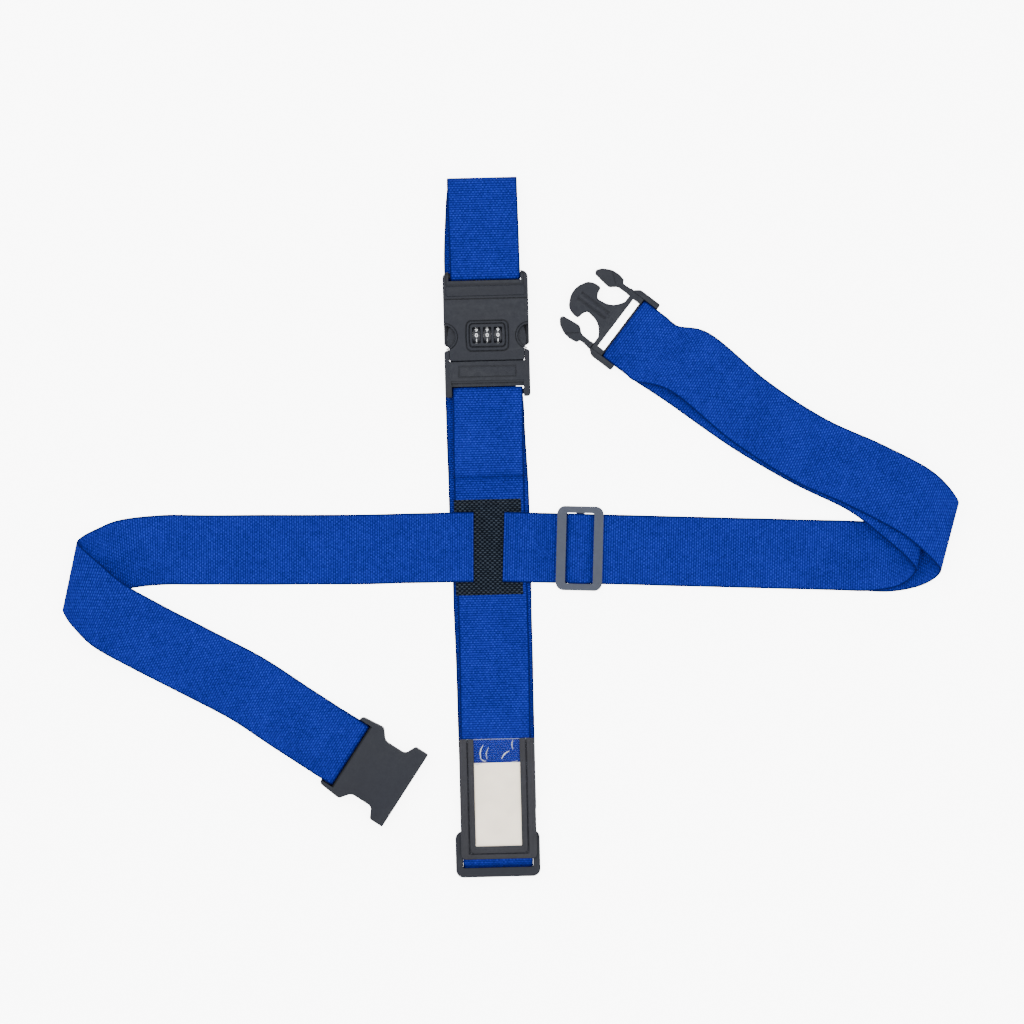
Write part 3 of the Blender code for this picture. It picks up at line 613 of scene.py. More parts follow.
class Finishes(Enum):
    """Every finish on the strap."""

    # In the webbing and the patch, the colour after the roughness is the painted shade between the yarns,
    # and the next colour is the painted highlight on the cross yarns that show.
    WEBBING = WovenFinish(
        "royal_blue_webbing", "webbing", (0.0058, 0.0092, 0.146), 0.9,
        (0.001, 0.003, 0.050), (0.0095, 0.018, 0.210), 1.2, 1.65, 0.30, 24.0,
    )
    PATCH = WovenFinish(
        "black_coarse_weave", "patch", (0.0022, 0.0036, 0.0075), 0.95,
        (0.0008, 0.0008, 0.0016), (0.018, 0.024, 0.033), 1.7, 1.5, 0.4, 60.0,
    )
    PLASTIC = MouldedFinish(
        "charcoal_acetal", "plastic", (0.0070, 0.0082, 0.0130), 0.54, (0.022, 0.025, 0.032)
    )
    GREY = MouldedFinish("grey_acetal", "plastic", (0.034, 0.040, 0.058), 0.45, (0.075, 0.083, 0.11))
    DIAL = MouldedFinish("black_dial", "dial", (0.012, 0.013, 0.017), 0.4, (0.05, 0.05, 0.055))
    DIGIT = MouldedFinish(
        "white_digit_fill", "dial", (0.78, 0.79, 0.80), 0.5, (0.6, 0.6, 0.6), 3000.0, 0.01
    )
    INNER = MouldedFinish("natural_acetal", "inner_plastic", (0.72, 0.71, 0.67), 0.42, (0.85, 0.85, 0.83))
    STEEL = SteelFinish("drawn_steel", "steel", (0.56, 0.57, 0.58), 0.3)
    VINYL = VinylFinish("black_grained_vinyl", "vinyl", (0.011, 0.0115, 0.0165), 0.52)
    FILM = FilmFinish("clear_film", "clear_vinyl", (0.22, 0.27, 0.36), 0.2, 0.012)
    CARD = CardFinish("cream_card", "card", (1.0, 0.88, 0.71), 0.85)
    BLUE_THREAD = ThreadFinish("blue_thread", "webbing", (0.0042, 0.012, 0.160), 0.95)
    BLACK_THREAD = ThreadFinish("black_thread", "vinyl", (0.016, 0.016, 0.020), 0.7)


class Wardrobe:
    """Hands out each finish's material, made once."""

    def __init__(self) -> None:
        """Start with the shared effects and no materials."""
        self.effects = Effects()
        self.made: dict[Finishes, bpy.types.Material] = {}

    def material(self, finish: Finishes) -> bpy.types.Material:
        """The finish's material."""
        if finish not in self.made:
            self.made[finish] = finish.value.build(self.effects)
        return self.made[finish]

    def dress(self, piece: bpy.types.Object, finish: Finishes) -> None:
        """Put the finish's material on a piece."""
        piece.data.materials.clear()
        piece.data.materials.append(self.material(finish))

    def hang(
        self, piece: bpy.types.Object, finish: Finishes, body: str, nodes: Iterable[str] = (),
    ) -> bpy.types.Object:
        """Dress a piece, make it ride on a body, and let it stand for CAD nodes.

        Args:
            piece: the finished piece.
            finish: what it is made of.
            body: the body that it moves with.
            nodes: the CAD nodes that it takes the place of.

        Returns:
            The piece.
        """
        self.dress(piece, finish)
        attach(piece, body)
        if nodes:
            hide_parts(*nodes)
        log.info("%s on %s: %d faces", piece.name, body, len(piece.data.polygons))
        return piece


# ---------------------------------------------------------------- solids

Corner = tuple[float, float, float]
Span = tuple[float, float]


def apply_boolean(target: bpy.types.Object, cutter: bpy.types.Object, operation: str) -> None:
    """Join a cutter to the target, cut it out, or keep what they share."""
    step = target.modifiers.new("step", "BOOLEAN")
    step.operation = operation
    step.solver = "EXACT"
    step.object = cutter
    graph = bpy.context.evaluated_depsgraph_get()
    mesh = bpy.data.meshes.new_from_object(target.evaluated_get(graph))
    target.modifiers.clear()
    old = target.data
    target.data = mesh
    bpy.data.meshes.remove(old)


class Blank:
    """A solid being shaped, in millimetres, in its sub-assembly's own frame."""

    def __init__(self, bm: bmesh.types.BMesh) -> None:
        """Take over a bmesh."""
        self.bm = bm

    @classmethod
    def block(cls, x: Span, y: Span, z: Span) -> "Blank":
        """A box between three pairs of limits."""
        bm = bmesh.new()
        bmesh.ops.create_cube(bm, size=1.0)
        bmesh.ops.scale(bm, vec=(x[1] - x[0], y[1] - y[0], z[1] - z[0]), verts=bm.verts)
        bmesh.ops.translate(
            bm, vec=((x[0] + x[1]) / 2, (y[0] + y[1]) / 2, (z[0] + z[1]) / 2), verts=bm.verts
        )
        return cls(bm)

    @classmethod
    def rod(cls, start: Sequence[float], end: Sequence[float], radius: float, sides: int = 32) -> "Blank":
        """A round bar between two points."""
        first, last = Vector(start), Vector(end)
        bm = bmesh.new()
        bmesh.ops.create_cone(
            bm, cap_ends=True, segments=sides, radius1=radius, radius2=radius,
            depth=(last - first).length,
        )
        turn = UP.rotation_difference(last - first).to_matrix().to_4x4()
        bmesh.ops.transform(bm, matrix=Matrix.Translation((first + last) / 2) @ turn, verts=bm.verts)
        return cls(bm)

    @classmethod
    def plate(cls, corners: Sequence[Corner], z: Span, steps: int = 8) -> "Blank":
        """A flat plate of an outline whose corners are rounded.

        Args:
            corners: x, y and the length that each corner's rounding takes of its sides.
            z: the plate's lower and upper faces.
            steps: the pieces in each rounding.

        Returns:
            The plate.
        """
        bm = bmesh.new()
        points = [bm.verts.new((x, y, z[0])) for x, y, _ in corners]
        bm.faces.new(points)
        for ease in sorted({corner[2] for corner in corners if corner[2]}):
            turned = [point for point, corner in zip(points, corners) if corner[2] == ease]
            bmesh.ops.bevel(
                bm, geom=turned, offset=ease, offset_type="OFFSET", segments=steps, profile=0.5,
                affect="VERTICES", material=-1, clamp_overlap=True,
            )
        return cls(bm).raised(z[1] - z[0])

    def raised(self, height: float) -> "Blank":
        """Give a flat outline its thickness."""
        grown = bmesh.ops.extrude_face_region(self.bm, geom=self.bm.faces[:], use_keep_orig=True)
        moved = [item for item in grown["geom"] if isinstance(item, bmesh.types.BMVert)]
        bmesh.ops.translate(self.bm, vec=(0.0, 0.0, height), verts=moved)
        bmesh.ops.dissolve_limit(
            self.bm, angle_limit=math.radians(0.2), verts=self.bm.verts, edges=self.bm.edges,
        )
        bmesh.ops.recalc_face_normals(self.bm, faces=self.bm.faces)
        return self

    def turned(self, matrix: Matrix) -> "Blank":
        """Move or turn the solid."""
        bmesh.ops.transform(self.bm, matrix=matrix, verts=self.bm.verts)
        if matrix.determinant() < 0:
            bmesh.ops.recalc_face_normals(self.bm, faces=self.bm.faces)
        return self

    def combined(self, operation: str, others: Sequence["Blank"]) -> "Blank":
        """Join other solids to this one, or cut them out of it.

        Args:
            operation: UNION or DIFFERENCE.
            others: the other solids, which are used up.

        Returns:
            This solid.
        """
        target = self.loose("target")
        for other in others:
            cutter = other.loose("cutter")
            apply_boolean(target, cutter, operation)
            bpy.data.objects.remove(cutter, do_unlink=True)
        self.bm = bmesh.new()
        self.bm.from_mesh(target.data)
        bpy.data.objects.remove(target, do_unlink=True)
        bmesh.ops.remove_doubles(self.bm, verts=self.bm.verts, dist=0.002)
        bmesh.ops.dissolve_limit(
            self.bm, angle_limit=math.radians(0.3), verts=self.bm.verts, edges=self.bm.edges,
        )
        return self

    def cut(self, *others: "Blank") -> "Blank":
        """Cut other solids out of this one."""
        return self.combined("DIFFERENCE", others)

    def join(self, *others: "Blank") -> "Blank":
        """Join other solids to this one."""
        return self.combined("UNION", others)

    def loose(self, name: str) -> bpy.types.Object:
        """A bare object of this solid, still in millimetres."""
        mesh = bpy.data.meshes.new(name)
        self.bm.to_mesh(mesh)
        self.bm.free()
        made = bpy.data.objects.new(name, mesh)
        bpy.context.scene.collection.objects.link(made)
        return made

    def ease(
        self, width: float, segments: int = 3, where: Callable[[Vector], bool] | None = None,
        sharper: float = 35.0,
    ) -> "Blank":
        """Round the solid's sharp edges.

        Args:
            width: how far each rounding reaches.
            segments: the pieces in each rounding.
            where: true for the middle of an edge that is rounded, or None for all of them.
            sharper: the least angle of an edge that counts as sharp, in degrees.

        Returns:
            This solid.
        """
        limit = math.radians(sharper)
        edges = []
        for edge in self.bm.edges:
            if len(edge.link_faces) != 2 or edge.calc_face_angle(0.0) < limit:
                continue
            if where is None or where((edge.verts[0].co + edge.verts[1].co) / 2):
                edges.append(edge)
        bmesh.ops.bevel(
            self.bm, geom=edges, offset=width, offset_type="OFFSET", segments=segments, profile=0.5,
            affect="EDGES", material=-1, clamp_overlap=True,
        )
        bmesh.ops.remove_doubles(self.bm, verts=self.bm.verts, dist=0.001)
        return self

    def piece(self, name: str, place: Matrix, smooth_under: float = 32.0) -> bpy.types.Object:
        """Finish the solid as an object whose place is in its mesh.

        Args:
            name: the piece's name.
            place: the matrix from the solid's frame to the whole object, in millimetres.
            smooth_under: edges under this angle are shaded smooth, in degrees.

        Returns:
            The object, at the origin.
        """
        bmesh.ops.transform(self.bm, matrix=Matrix.Scale(MM, 4) @ place, verts=self.bm.verts)
        mesh = bpy.data.meshes.new(name)
        self.bm.to_mesh(mesh)
        self.bm.free()
        mesh.shade_smooth()
        mesh.set_sharp_from_angle(angle=math.radians(smooth_under))
        made = bpy.data.objects.new(name, mesh)
        bpy.context.scene.collection.objects.link(made)
        return made


def both_sides(half: Sequence[Corner]) -> list[Corner]:
    """A symmetric outline from its right half, given from the bottom up."""
    return list(half) + [(-x, y, ease) for x, y, ease in reversed(half)]


def lengthwise(half: Sequence[Corner]) -> list[Corner]:
    """A symmetric outline along x from its far half (x, y, ease), given from back to front."""
    return [(x, -y, ease) for x, y, ease in half] + [(x, y, ease) for x, y, ease in reversed(half)]


# ---------------------------------------------------------------- webbing


@dataclass(frozen=True)
class Station:
    """A place on a strap's route: its middle and the direction of its width."""

    middle: Vector
    across: Vector


class Route:
    """The middle line of a strap in an upright plane, as (along, z) points, drawn one stretch at a time."""

    def __init__(self, along: float, z: float) -> None:
        """Start at a point."""
        self.points = [Vector((along, z))]

    def line(self, along: float, z: float, step: float = 6.0) -> "Route":
        """Go straight to a point."""
        start, end = self.points[-1], Vector((along, z))
        count = max(1, round((end - start).length / step))
        self.points += [start.lerp(end, i / count) for i in range(1, count + 1)]
        return self

    def ease(self, along: float, z: float, steps: int = 14) -> "Route":
        """Go to a point on a smooth S."""
        start = self.points[-1].copy()
        for i in range(1, steps + 1):
            t = i / steps
            self.points.append(
                Vector((start.x + (along - start.x) * t, start.y + (z - start.y) * t * t * (3 - 2 * t)))
            )
        return self

    def arc(self, along: float, z: float, radius: float, start: float, end: float) -> "Route":
        """Go round a centre between two angles in degrees, 0 along the strap and 90 up."""
        count = max(4, round(abs(end - start) / 9))
        for i in range(count + 1):
            angle = math.radians(start + (end - start) * i / count)
            self.points.append(Vector((along + radius * math.cos(angle), z + radius * math.sin(angle))))
        return self

    def curve(self, *through: tuple[float, float]) -> "Route":
        """Go through points on a smooth curve."""
        rows = catmull([self.points[-1], *map(Vector, through)], 6)
        self.points += rows[1:]
        return self

    def stations(
        self, place: Matrix, crosswise: bool, sway: Callable[[float], float] | None = None
    ) -> list[Station]:
        """The route's stations in the whole object.

        Args:
            place: the frame that the route is drawn in.
            crosswise: true where the strap runs along the frame's y, false where along its x.
            sway: how far the strap lies to the side, by its place along, or None.

        Returns:
            The stations in millimetres.
        """
        turn = place.to_3x3()
        across = turn @ (Vector((1, 0, 0)) if crosswise else Vector((0, 1, 0)))
        made = []
        for along, z in self.points:
            local = Vector((0.0, along, z)) if crosswise else Vector((along, 0.0, z))
            shift = across * sway(along) if sway else Vector()
            made.append(Station(place @ local + shift, across))
        return made


def catmull(rows: Sequence[Vector], steps: int) -> list[Vector]:
    """A Catmull-Rom curve through rows of numbers."""
    spread = [rows[0] * 2 - rows[1], *rows, rows[-1] * 2 - rows[-2]]
    points = [rows[0].copy()]
    for a, b, c, d in zip(spread, spread[1:], spread[2:], spread[3:]):
        for i in range(1, steps + 1):
            t = i / steps
            points.append(
                0.5 * (
                    2 * b + (c - a) * t + (2 * a - 5 * b + 4 * c - d) * t * t
                    + (3 * b - a - 3 * c + d) * t * t * t
                )
            )
    return points


def table_curve(table: Sequence[tuple[float, float]]) -> Callable[[float], float]:
    """A smooth function through (place, value) pairs in rising order, level beyond its ends."""

    def value(at: float) -> float:
        """The function's value at a place."""
        if at <= table[0][0]:
            return table[0][1]
        for (a, low), (b, high) in zip(table, table[1:]):
            if at <= b:
                t = (at - a) / (b - a)
                return low + (high - low) * t * t * (3 - 2 * t)
        return table[-1][1]

    return value


def ribbon_stations(rows: Sequence[tuple[float, float, float, float]], steps: int = 16) -> list[Station]:
    """Stations of webbing that turns in plan.

    Args:
        rows: x, y, z and the heading of the webbing's width in degrees, in order along it.
        steps: the stations from each row to the next.

    Returns:
        The stations in millimetres.
    """
    made = []
    for x, y, z, heading in catmull([Vector(row) for row in rows], steps):
        angle = math.radians(heading)
        made.append(Station(Vector((x, y, z)), Vector((math.cos(angle), math.sin(angle), 0.0))))
    return made


@dataclass
class Webbing:
    """Flat woven webbing, cut to length and laid along a route.

    Attributes:
        width: its width in millimetres.
        thick: its thickness.
        columns: the faces across its top.
        longest: the longest step between its rows.
        bend: the most that one row turns from the last, in degrees.
        ripple: how far its edges wander.
    """

    width: float = 50.0
    thick: float = 1.3
    columns: int = 12
    longest: float = 2.6
    bend: float = 8.0
    ripple: float = 0.16

    def section(self) -> list[tuple[float, float]]:
        """The outline of the webbing's cut end: across and up, round its woven edges."""
        half, low = self.width / 2, self.thick / 2
        flat = [(-1 + 2 * i / self.columns) * (half - 0.55) for i in range(self.columns + 1)]
        edge = [(half - 0.2, low * 0.72), (half, 0.0), (half - 0.2, -low * 0.72)]
        top = [(across, low) for across in flat]
        bottom = [(across, -low) for across in reversed(flat)]
        left = [(-across, -up) for across, up in edge]
        return top + edge + bottom + left

    def thinned(self, stations: Sequence[Station]) -> list[tuple[Station, float]]:
        """Keep only the stations that the curve needs, each with its distance along the webbing."""
        kept = [(stations[0], 0.0)]
        run, since = 0.0, 0.0
        heading: Vector | None = None
        for before, here, after in zip(stations, stations[1:], [*stations[2:], stations[-1]]):
            run += (here.middle - before.middle).length
            since += (here.middle - before.middle).length
            step = here.middle - before.middle
            if step.length < 1e-6:
                continue
            heading = heading or step.normalized()
            turned = math.degrees(heading.angle(step.normalized()))
            ahead = (after.middle - here.middle).length
            if since + ahead > self.longest or turned > self.bend or here is stations[-1]:
                if since > 0.12:
                    kept.append((here, run))
                    since, heading = 0.0, step.normalized()
        if kept[-1][0] is not stations[-1]:
            kept.append((stations[-1], run))
        return kept

    def lay(
        self, name: str, stations: Sequence[Station], start: float = 0.0
    ) -> tuple[bpy.types.Object, float]:
        """Lay webbing along stations.

        Args:
            name: the piece's name.
            stations: its route, close together.
            start: the cloth coordinate of its first row, so that a weave runs on from another piece.

        Returns:
            The piece and its length in millimetres.
        """
        rows = self.thinned(stations)
        outline = self.section()
        around = len(outline)
        bm = bmesh.new()
        bmesh.ops.create_grid(bm, x_segments=around, y_segments=len(rows) - 1, size=0.5)
        cloth = bm.loops.layers.uv.new("cloth")
        places: dict[bmesh.types.BMVert, tuple[int, int]] = {}
        for vert in bm.verts:
            places[vert] = (round((vert.co.x + 0.5) * around), round((vert.co.y + 0.5) * (len(rows) - 1)))
        for face in bm.faces:
            for loop in face.loops:
                column, row = places[loop.vert]
                loop[cloth].uv = (outline[column % around][0] * MM, (start + rows[row][1]) * MM)
        frames = self.frames([row[0] for row in rows])
        for vert, (column, row) in places.items():
            across, up = outline[column % around]
            station = rows[row][0]
            wander = noise.noise(
                Vector((rows[row][1] * 0.03, math.copysign(7.0, across), start * 0.01))
            ) * self.ripple
            spread = across + wander * abs(across) / (self.width / 2)
            vert.co = station.middle + station.across * spread + frames[row] * up
        bmesh.ops.remove_doubles(bm, verts=bm.verts, dist=0.0005)
        ends = [edge for edge in bm.edges if len(edge.link_faces) == 1]
        bmesh.ops.holes_fill(bm, edges=ends, sides=around)
        bmesh.ops.recalc_face_normals(bm, faces=bm.faces)
        piece = Blank(bm).piece(name, Matrix.Identity(4), 50.0)
        return piece, rows[-1][1]

    @staticmethod
    def frames(stations: Sequence[Station]) -> list[Vector]:
        """The direction out of the webbing's upper face at each station."""
        last = len(stations) - 1
        made = []
        for i, station in enumerate(stations):
            along = stations[min(i + 1, last)].middle - stations[max(i - 1, 0)].middle
            made.append(station.across.cross(along).normalized())
        return made


# ---------------------------------------------------------------- stitching


@dataclass
class Stitching:
    """A row of lock stitches standing a little proud of what they hold.

    Attributes:
        length: a stitch's length in millimetres.
        pitch: the distance from one stitch to the next.
        thread: the thread's thickness.
    """

    length: float = 2.2
    pitch: float = 2.9
    thread: float = 0.42

    def rows(self, name: str, lines: Sequence[tuple[Vector, Vector]], place: Matrix) -> bpy.types.Object:
        """Sew straight rows.

        Args:
            name: the piece's name.
            lines: the start and end of each row, in the frame of place.
            place: the matrix from that frame to the whole object, in millimetres.

        Returns:
            One piece with all the stitches.
        """
        bm = bmesh.new()
        for start, end in lines:
            heading = (end - start).normalized()
            turn = Vector((1, 0, 0)).rotation_difference(heading).to_matrix().to_4x4()
            count = max(1, round((end - start).length / self.pitch))
            for i in range(count):
                middle = start.lerp(end, (i + 0.5) / count)
                made = bmesh.ops.create_uvsphere(bm, u_segments=8, v_segments=6, radius=0.5)
                size = Matrix.Diagonal((self.length, self.thread, self.thread, 1.0))
                lean = Matrix.Rotation(math.radians(3.0), 4, "Z")
                bmesh.ops.transform(
                    bm, matrix=Matrix.Translation(middle) @ turn @ lean @ size, verts=made["verts"]
                )
        return Blank(bm).piece(name, place, 80.0)


# ---------------------------------------------------------------- straps


@dataclass
class StrapSet:
    """All the webbing: the vertical loop and the two arms.

    Attributes:
        wrap: the radius of the webbing's middle line round a bar.
        back_z: the height of the middle of webbing that lies on the floor.
        pitch: from one layer's middle to the next one's.
        raised_z: the height of the front layer under the card pocket.
    """

    wardrobe: Wardrobe
    wrap: float = 2.95
    back_z: float = 0.65
    pitch: float = 1.6
    raised_z: float = 7.55
    top_fold: float = 263.5
    bottom_fold: float = -235.5
    lock_bar: tuple[float, float] = (193.4, 8.4)
    plug_bar: tuple[float, float] = (110.5, 8.4)

    def hang(
        self, name: str, stations: Sequence[Station], body: str | None, nodes: Sequence[str],
        rests_on: Sequence[str],
        start: float = 0.0,
    ) -> tuple[bpy.types.Object, float]:
        """Args:
            name: the piece's name.
            stations: its route.
            body: the body that it rides on, or None where it is not attached to one.
            nodes: the CAD nodes that it takes the place of.
            rests_on: the nodes that hold it; not used.
            start: the cloth coordinate of its first row.

        Returns:
            The piece and its length in millimetres.
        """
        webbing = Webbing()
        piece, length = webbing.lay(name, stations, start)
        self.wardrobe.dress(piece, Finishes.WEBBING)
        if body:
            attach(piece, body)
        if nodes:
            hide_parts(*nodes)
        log.info("%s: %.0f mm of webbing", name, length)
        return piece, length

    def blend(
        self, piece: bpy.types.Object
    ) -> None:
        """Bake a piece's place into its mesh."""
        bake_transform(piece)

    def slide_crest(self, route: Route, at: float, floor: float) -> Route:
        """Take webbing up over a slide's middle bar and down under its far bar."""
        over = floor + 5.95
        route.curve(
            (at - 8.9, floor + 1.7), (at - 6.7, floor + 4.5), (at - 4.0, over - 0.12), (at, over + 0.15),
            (at + 3.6, over - 0.25), (at + 6.4, floor + 4.5), (at + 8.6, floor + 2.75),
            (at + 10.6, floor + self.back_z + self.pitch),
        )
        return route.line(at + 17.6, floor + self.back_z + self.pitch)

    def sewn_end(self, at: float, floor: float) -> Route:
        """The end sewn round a slide's middle bar, from its cut edge on top to where it lies flat."""
        middle = floor + 2.5
        radius = 1.85
        route = Route(at + 2.2, middle + radius).line(at - 2.1, middle + radius, 1.0)
        return route.arc(at - 2.1, middle, radius, 90, 270).line(at + 3.0, middle - radius, 1.0)

    def build_loop(self) -> None:
        """The vertical loop: over the top fold, down the back, and up the front to the plug."""
        back_sway = table_curve(
            [
                (-236, 0.0), (-206, 0.0), (-190, -1.0), (-109, -1.5), (-29, -2.5), (26, -3.9),
                (106, -4.7), (136, -0.2),
                (150, 0.0), (178, -3.4), (200, -3.4), (262, -0.6),
            ]
        )
        front_sway = table_curve([(-205, 0.0), (-60, 0.8), (20, 0.2), (60, 0.2), (104, 0.75)])
        return_sway = table_curve([(-206, 0.0), (-186, 3.2), (28, 3.6), (96, 1.6), (112, 0.75)])
        head_sway = table_curve([(192, 0.95), (215, 0.75), (262, 0.2)])
        bar, bar_z = self.lock_bar
        crest = bar_z + self.wrap
        radius = (crest - self.back_z) / 2
        fold = self.top_fold - self.back_z - radius
        turn = self.bottom_fold + self.back_z + self.pitch / 2
        floor = self.pitch

        head = Route(222.0, crest - self.pitch).line(208.0, crest - self.pitch, 2.0)
        head.ease(bar + 2.0, bar_z - self.wrap).arc(bar, bar_z, self.wrap, 270, 90)
        head.line(fold - 14.0, crest).curve((fold - 6.0, crest + 0.15), (fold, crest))
        head.arc(fold, crest - radius, radius, 90, -90)
        over = head.stations(LINE, True, head_sway)
        back = Route(fold - 5.0, self.back_z).line(turn, self.back_z)
        back.arc(
            turn, self.back_z + self.pitch / 2, self.pitch / 2, 270, 90
        ).line(BOTTOM_SLIDE_V - 11.0, floor + self.back_z)
        under = self.slide_crest(back, BOTTOM_SLIDE_V, floor)
        turned = min(range(len(under.points)), key=lambda i: under.points[i].x)
        split = next(
            i for i in range(turned, len(under.points)) if under.points[i].x > BOTTOM_SLIDE_V + 12.5
        )
        laid = under.stations(LINE, True, back_sway)
        nodes = ["strap_lock_loop", "strap_top_fold", "strap_back_run"]
        _, back_length = self.hang(
            "loop_back_webbing", over + laid[1 : turned + 1], "root", nodes, ["lock_cover"]
        )
        piece, run = self.hang(
            "loop_turn_webbing", laid[turned : split + 1], None, ["strap_bottom_turn"], ["bottom_slide"],
            back_length,
        )
        self.blend(
            piece,
        )
        length = back_length + run

        front = Route(*under.points[split]).line(-197.0, under.points[-1].y).ease(-184.0, self.raised_z)
        front.line(-126.0, self.raised_z).ease(-60.0, self.back_z + 2 * self.pitch, 24)
        front.line(20.0, self.back_z + 2 * self.pitch)
        piece, run = self.hang(
            "loop_front_webbing", front.stations(LINE, True, front_sway), None, ["strap_front_run"],
            ["bottom_slide", "crossing_patch"], length,
        )
        self.blend(piece)

        low, high = self.back_z + self.pitch, self.back_z + 2 * self.pitch
        plug, plug_z = self.plug_bar
        puff = Route(20.0, high).line(44.0, high, 2.0).curve(
            (47.0, high + 0.05), (49.6, high + 0.5), (50.8, high + 2.2), (51.0, high + 4.2),
            (53.0, high + 6.0),
            (58.0, high + 7.1), (70.0, high + 7.4), (86.0, high + 7.4), (100.0, high + 7.6),
            (plug, plug_z + self.wrap),
        )
        puff.arc(plug, plug_z, self.wrap, 90, -90).line(
            plug - 4.0, plug_z - self.wrap, 1.0
        ).ease(84.0, low).line(20.0, low)
        turned = self.plug_sway(puff, front_sway, return_sway)
        piece, _ = self.hang(
            "plug_webbing", turned, None, ["strap_plug_loop"], ["lock_plug"], length + run
        )
        self.blend(piece)

        back_run = self.sewn_end(BOTTOM_SLIDE_V, floor).line(20.0, low)
        piece, _ = self.hang(
            "loop_return_webbing", back_run.stations(LINE, True, return_sway), None, ["strap_return_run"],
            ["bottom_slide"],
        )
        self.blend(piece)

    @staticmethod
    def plug_sway(
        route: Route, front: Callable[[float], float], back: Callable[[float], float]
    ) -> list[Station]:
        """Stations of the plug's loop, whose front and back legs lie to different sides."""
        tip = max(range(len(route.points)), key=lambda i: route.points[i].x)
        ahead = route.stations(LINE, True, front)
        behind = route.stations(LINE, True, back)
        return ahead[:tip] + behind[tip:]

    def build_left_arm(self) -> None:
        """The left arm, from its cut end on the patch, over its fold and round the socket half's bar."""
        bar_z = joint_place("female_buckle_swivel").z
        top = bar_z + self.wrap
        heading = math.degrees(math.atan2(FEMALE[1][1], FEMALE[0][1]))
        near = FEMALE @ Vector((FEMALE_BAR_Q - 17.4, 0.0, top))
        before = FEMALE @ Vector((FEMALE_BAR_Q - 26.4, 0.0, top - 0.8))
        rows = [
            (-12.1, 0.0, 6.55, 90), (-28.0, -0.2, 6.55, 90), (-44.0, -0.6, 3.4, 90),
            (-62.0, -1.0, 0.7, 90)
        ]
        rows += [(-100.0, -1.8, 0.65, 90), (-200.0, -2.1, 0.65, 90), (-233.0, -2.1, 0.65, 90)]
        rows += [
            (-261.7, -5.2, 1.2, 95), (-281.0, -12.0, 3.4, 90), (-297.4, -19.0, 9.0, 80),
            (-296.7, -23.9, 14.2, 76)
        ]
        rows += [(-286.5, -34.6, 16.6, 69), (-271.0, -48.5, 15.6, 64), (-244.5, -63.6, 12.0, 61)]
        rows += [(-216.0, -78.5, 8.2, 60.5), (-175.3, -99.9, 4.6, 60), (-141.0, -122.2, 4.6, 58)]
        rows += [(*before, heading), (*near, heading)]
        tail_z = top - self.pitch
        loop = Route(FEMALE_BAR_Q - 17.4, top).line(FEMALE_BAR_Q, top, 2.0)
        loop.arc(FEMALE_BAR_Q, bar_z, self.wrap, 90, -90).line(FEMALE_BAR_Q - 2.5, bar_z - self.wrap, 1.0)
        loop.ease(FEMALE_BAR_Q - 13.0, tail_z).line(FEMALE_BAR_Q - 19.0, tail_z)
        stations = ribbon_stations(rows) + loop.stations(FEMALE, False)[1:]
        nodes = ["left_arm_run", "left_arm_fold", "left_arm_return", "left_arm_buckle_loop"]
        self.hang("left_arm_webbing", stations, "root", nodes, ["crossing_patch", "female_buckle"])

    def build_right_arm(self) -> None:
        """The right arm: its root, the doubled run, and the doubled fold to the tongue half's bar."""
        at = RIGHT_SLIDE_X
        under_bar = at - 14.0
        root = Route(9.3, 6.55).line(28.0, 6.55, 2.0).ease(43.0, self.back_z).line(under_bar, self.back_z)
        piece, length = self.hang(
            "right_root_webbing", root.stations(RIGHT, False), None, ["right_arm_root"],
            ["crossing_patch", "right_slide"],
        )
        self.blend(piece)

        top_z = self.back_z + self.pitch
        through = self.slide_crest(
            Route(under_bar, self.back_z).line(at - 10.6, self.back_z, 1.0), at, 0.0
        )
        upper_rows, lower_rows = self.fold_rows()
        upper = through.line(236.0, top_z).stations(RIGHT, False) + ribbon_stations(upper_rows)[1:]
        lower = self.sewn_end(at, 0.0).line(
            236.0, self.back_z
        ).stations(RIGHT, False) + ribbon_stations(lower_rows)[1:]
        part = (RIGHT @ Vector((254.0, 0, 0))).x
        upper_split = next(i for i, station in enumerate(upper) if station.middle.x > part)
        lower_split = next(i for i, station in enumerate(lower) if station.middle.x > part)
        nodes = ["right_slide_strap", "right_run_upper"]
        top_piece, top_length = self.hang(
            "right_run_upper_webbing", upper[: upper_split + 1], None, nodes, ["right_slide"], length,
        )
        nodes = ["right_slide_loop", "right_run_lower"]
        low_piece, _ = self.hang(
            "right_run_lower_webbing", lower[: lower_split + 1], None, nodes, ["right_slide"]
        )
        for piece in (top_piece, low_piece):
            self.blend(piece)

        bar_z = joint_place("male_buckle_swivel").z
        loop = Route(MALE_BAR_P - 17.4, bar_z - self.wrap).line(MALE_BAR_P, bar_z - self.wrap, 2.0)
        loop.arc(MALE_BAR_P, bar_z, self.wrap, -90, 90).line(MALE_BAR_P - 17.4, bar_z + self.wrap, 2.0)
        legs = loop.stations(MALE @ Matrix.Diagonal((1, -1, 1, 1)), False)
        whole = upper[upper_split:] + legs[1:-1] + lower[: lower_split - 1 : -1]
        nodes = [
            "right_fold_inner", "right_return_lower", "right_arm_buckle_loop", "right_return_upper",
            "right_fold_outer"
        ]
        self.hang("right_fold_webbing", whole, "root", nodes, ["male_buckle"], length + top_length)

    def fold_rows(self) -> tuple[list[tuple[float, ...]], list[tuple[float, ...]]]:
        """Rows of the right arm's two layers, from the end of the straight run to the tongue half's bar."""
        heading = math.degrees(math.atan2(RIGHT[1][1], RIGHT[0][1]))
        bar_heading = math.degrees(math.atan2(-MALE[1][1], -MALE[0][1]))
        bar_z = joint_place("male_buckle_swivel").z

        def run(x: float, z: float) -> tuple[float, ...]:
            """A row on the straight run."""
            return (*(RIGHT @ Vector((x, 0.0, z))), heading)

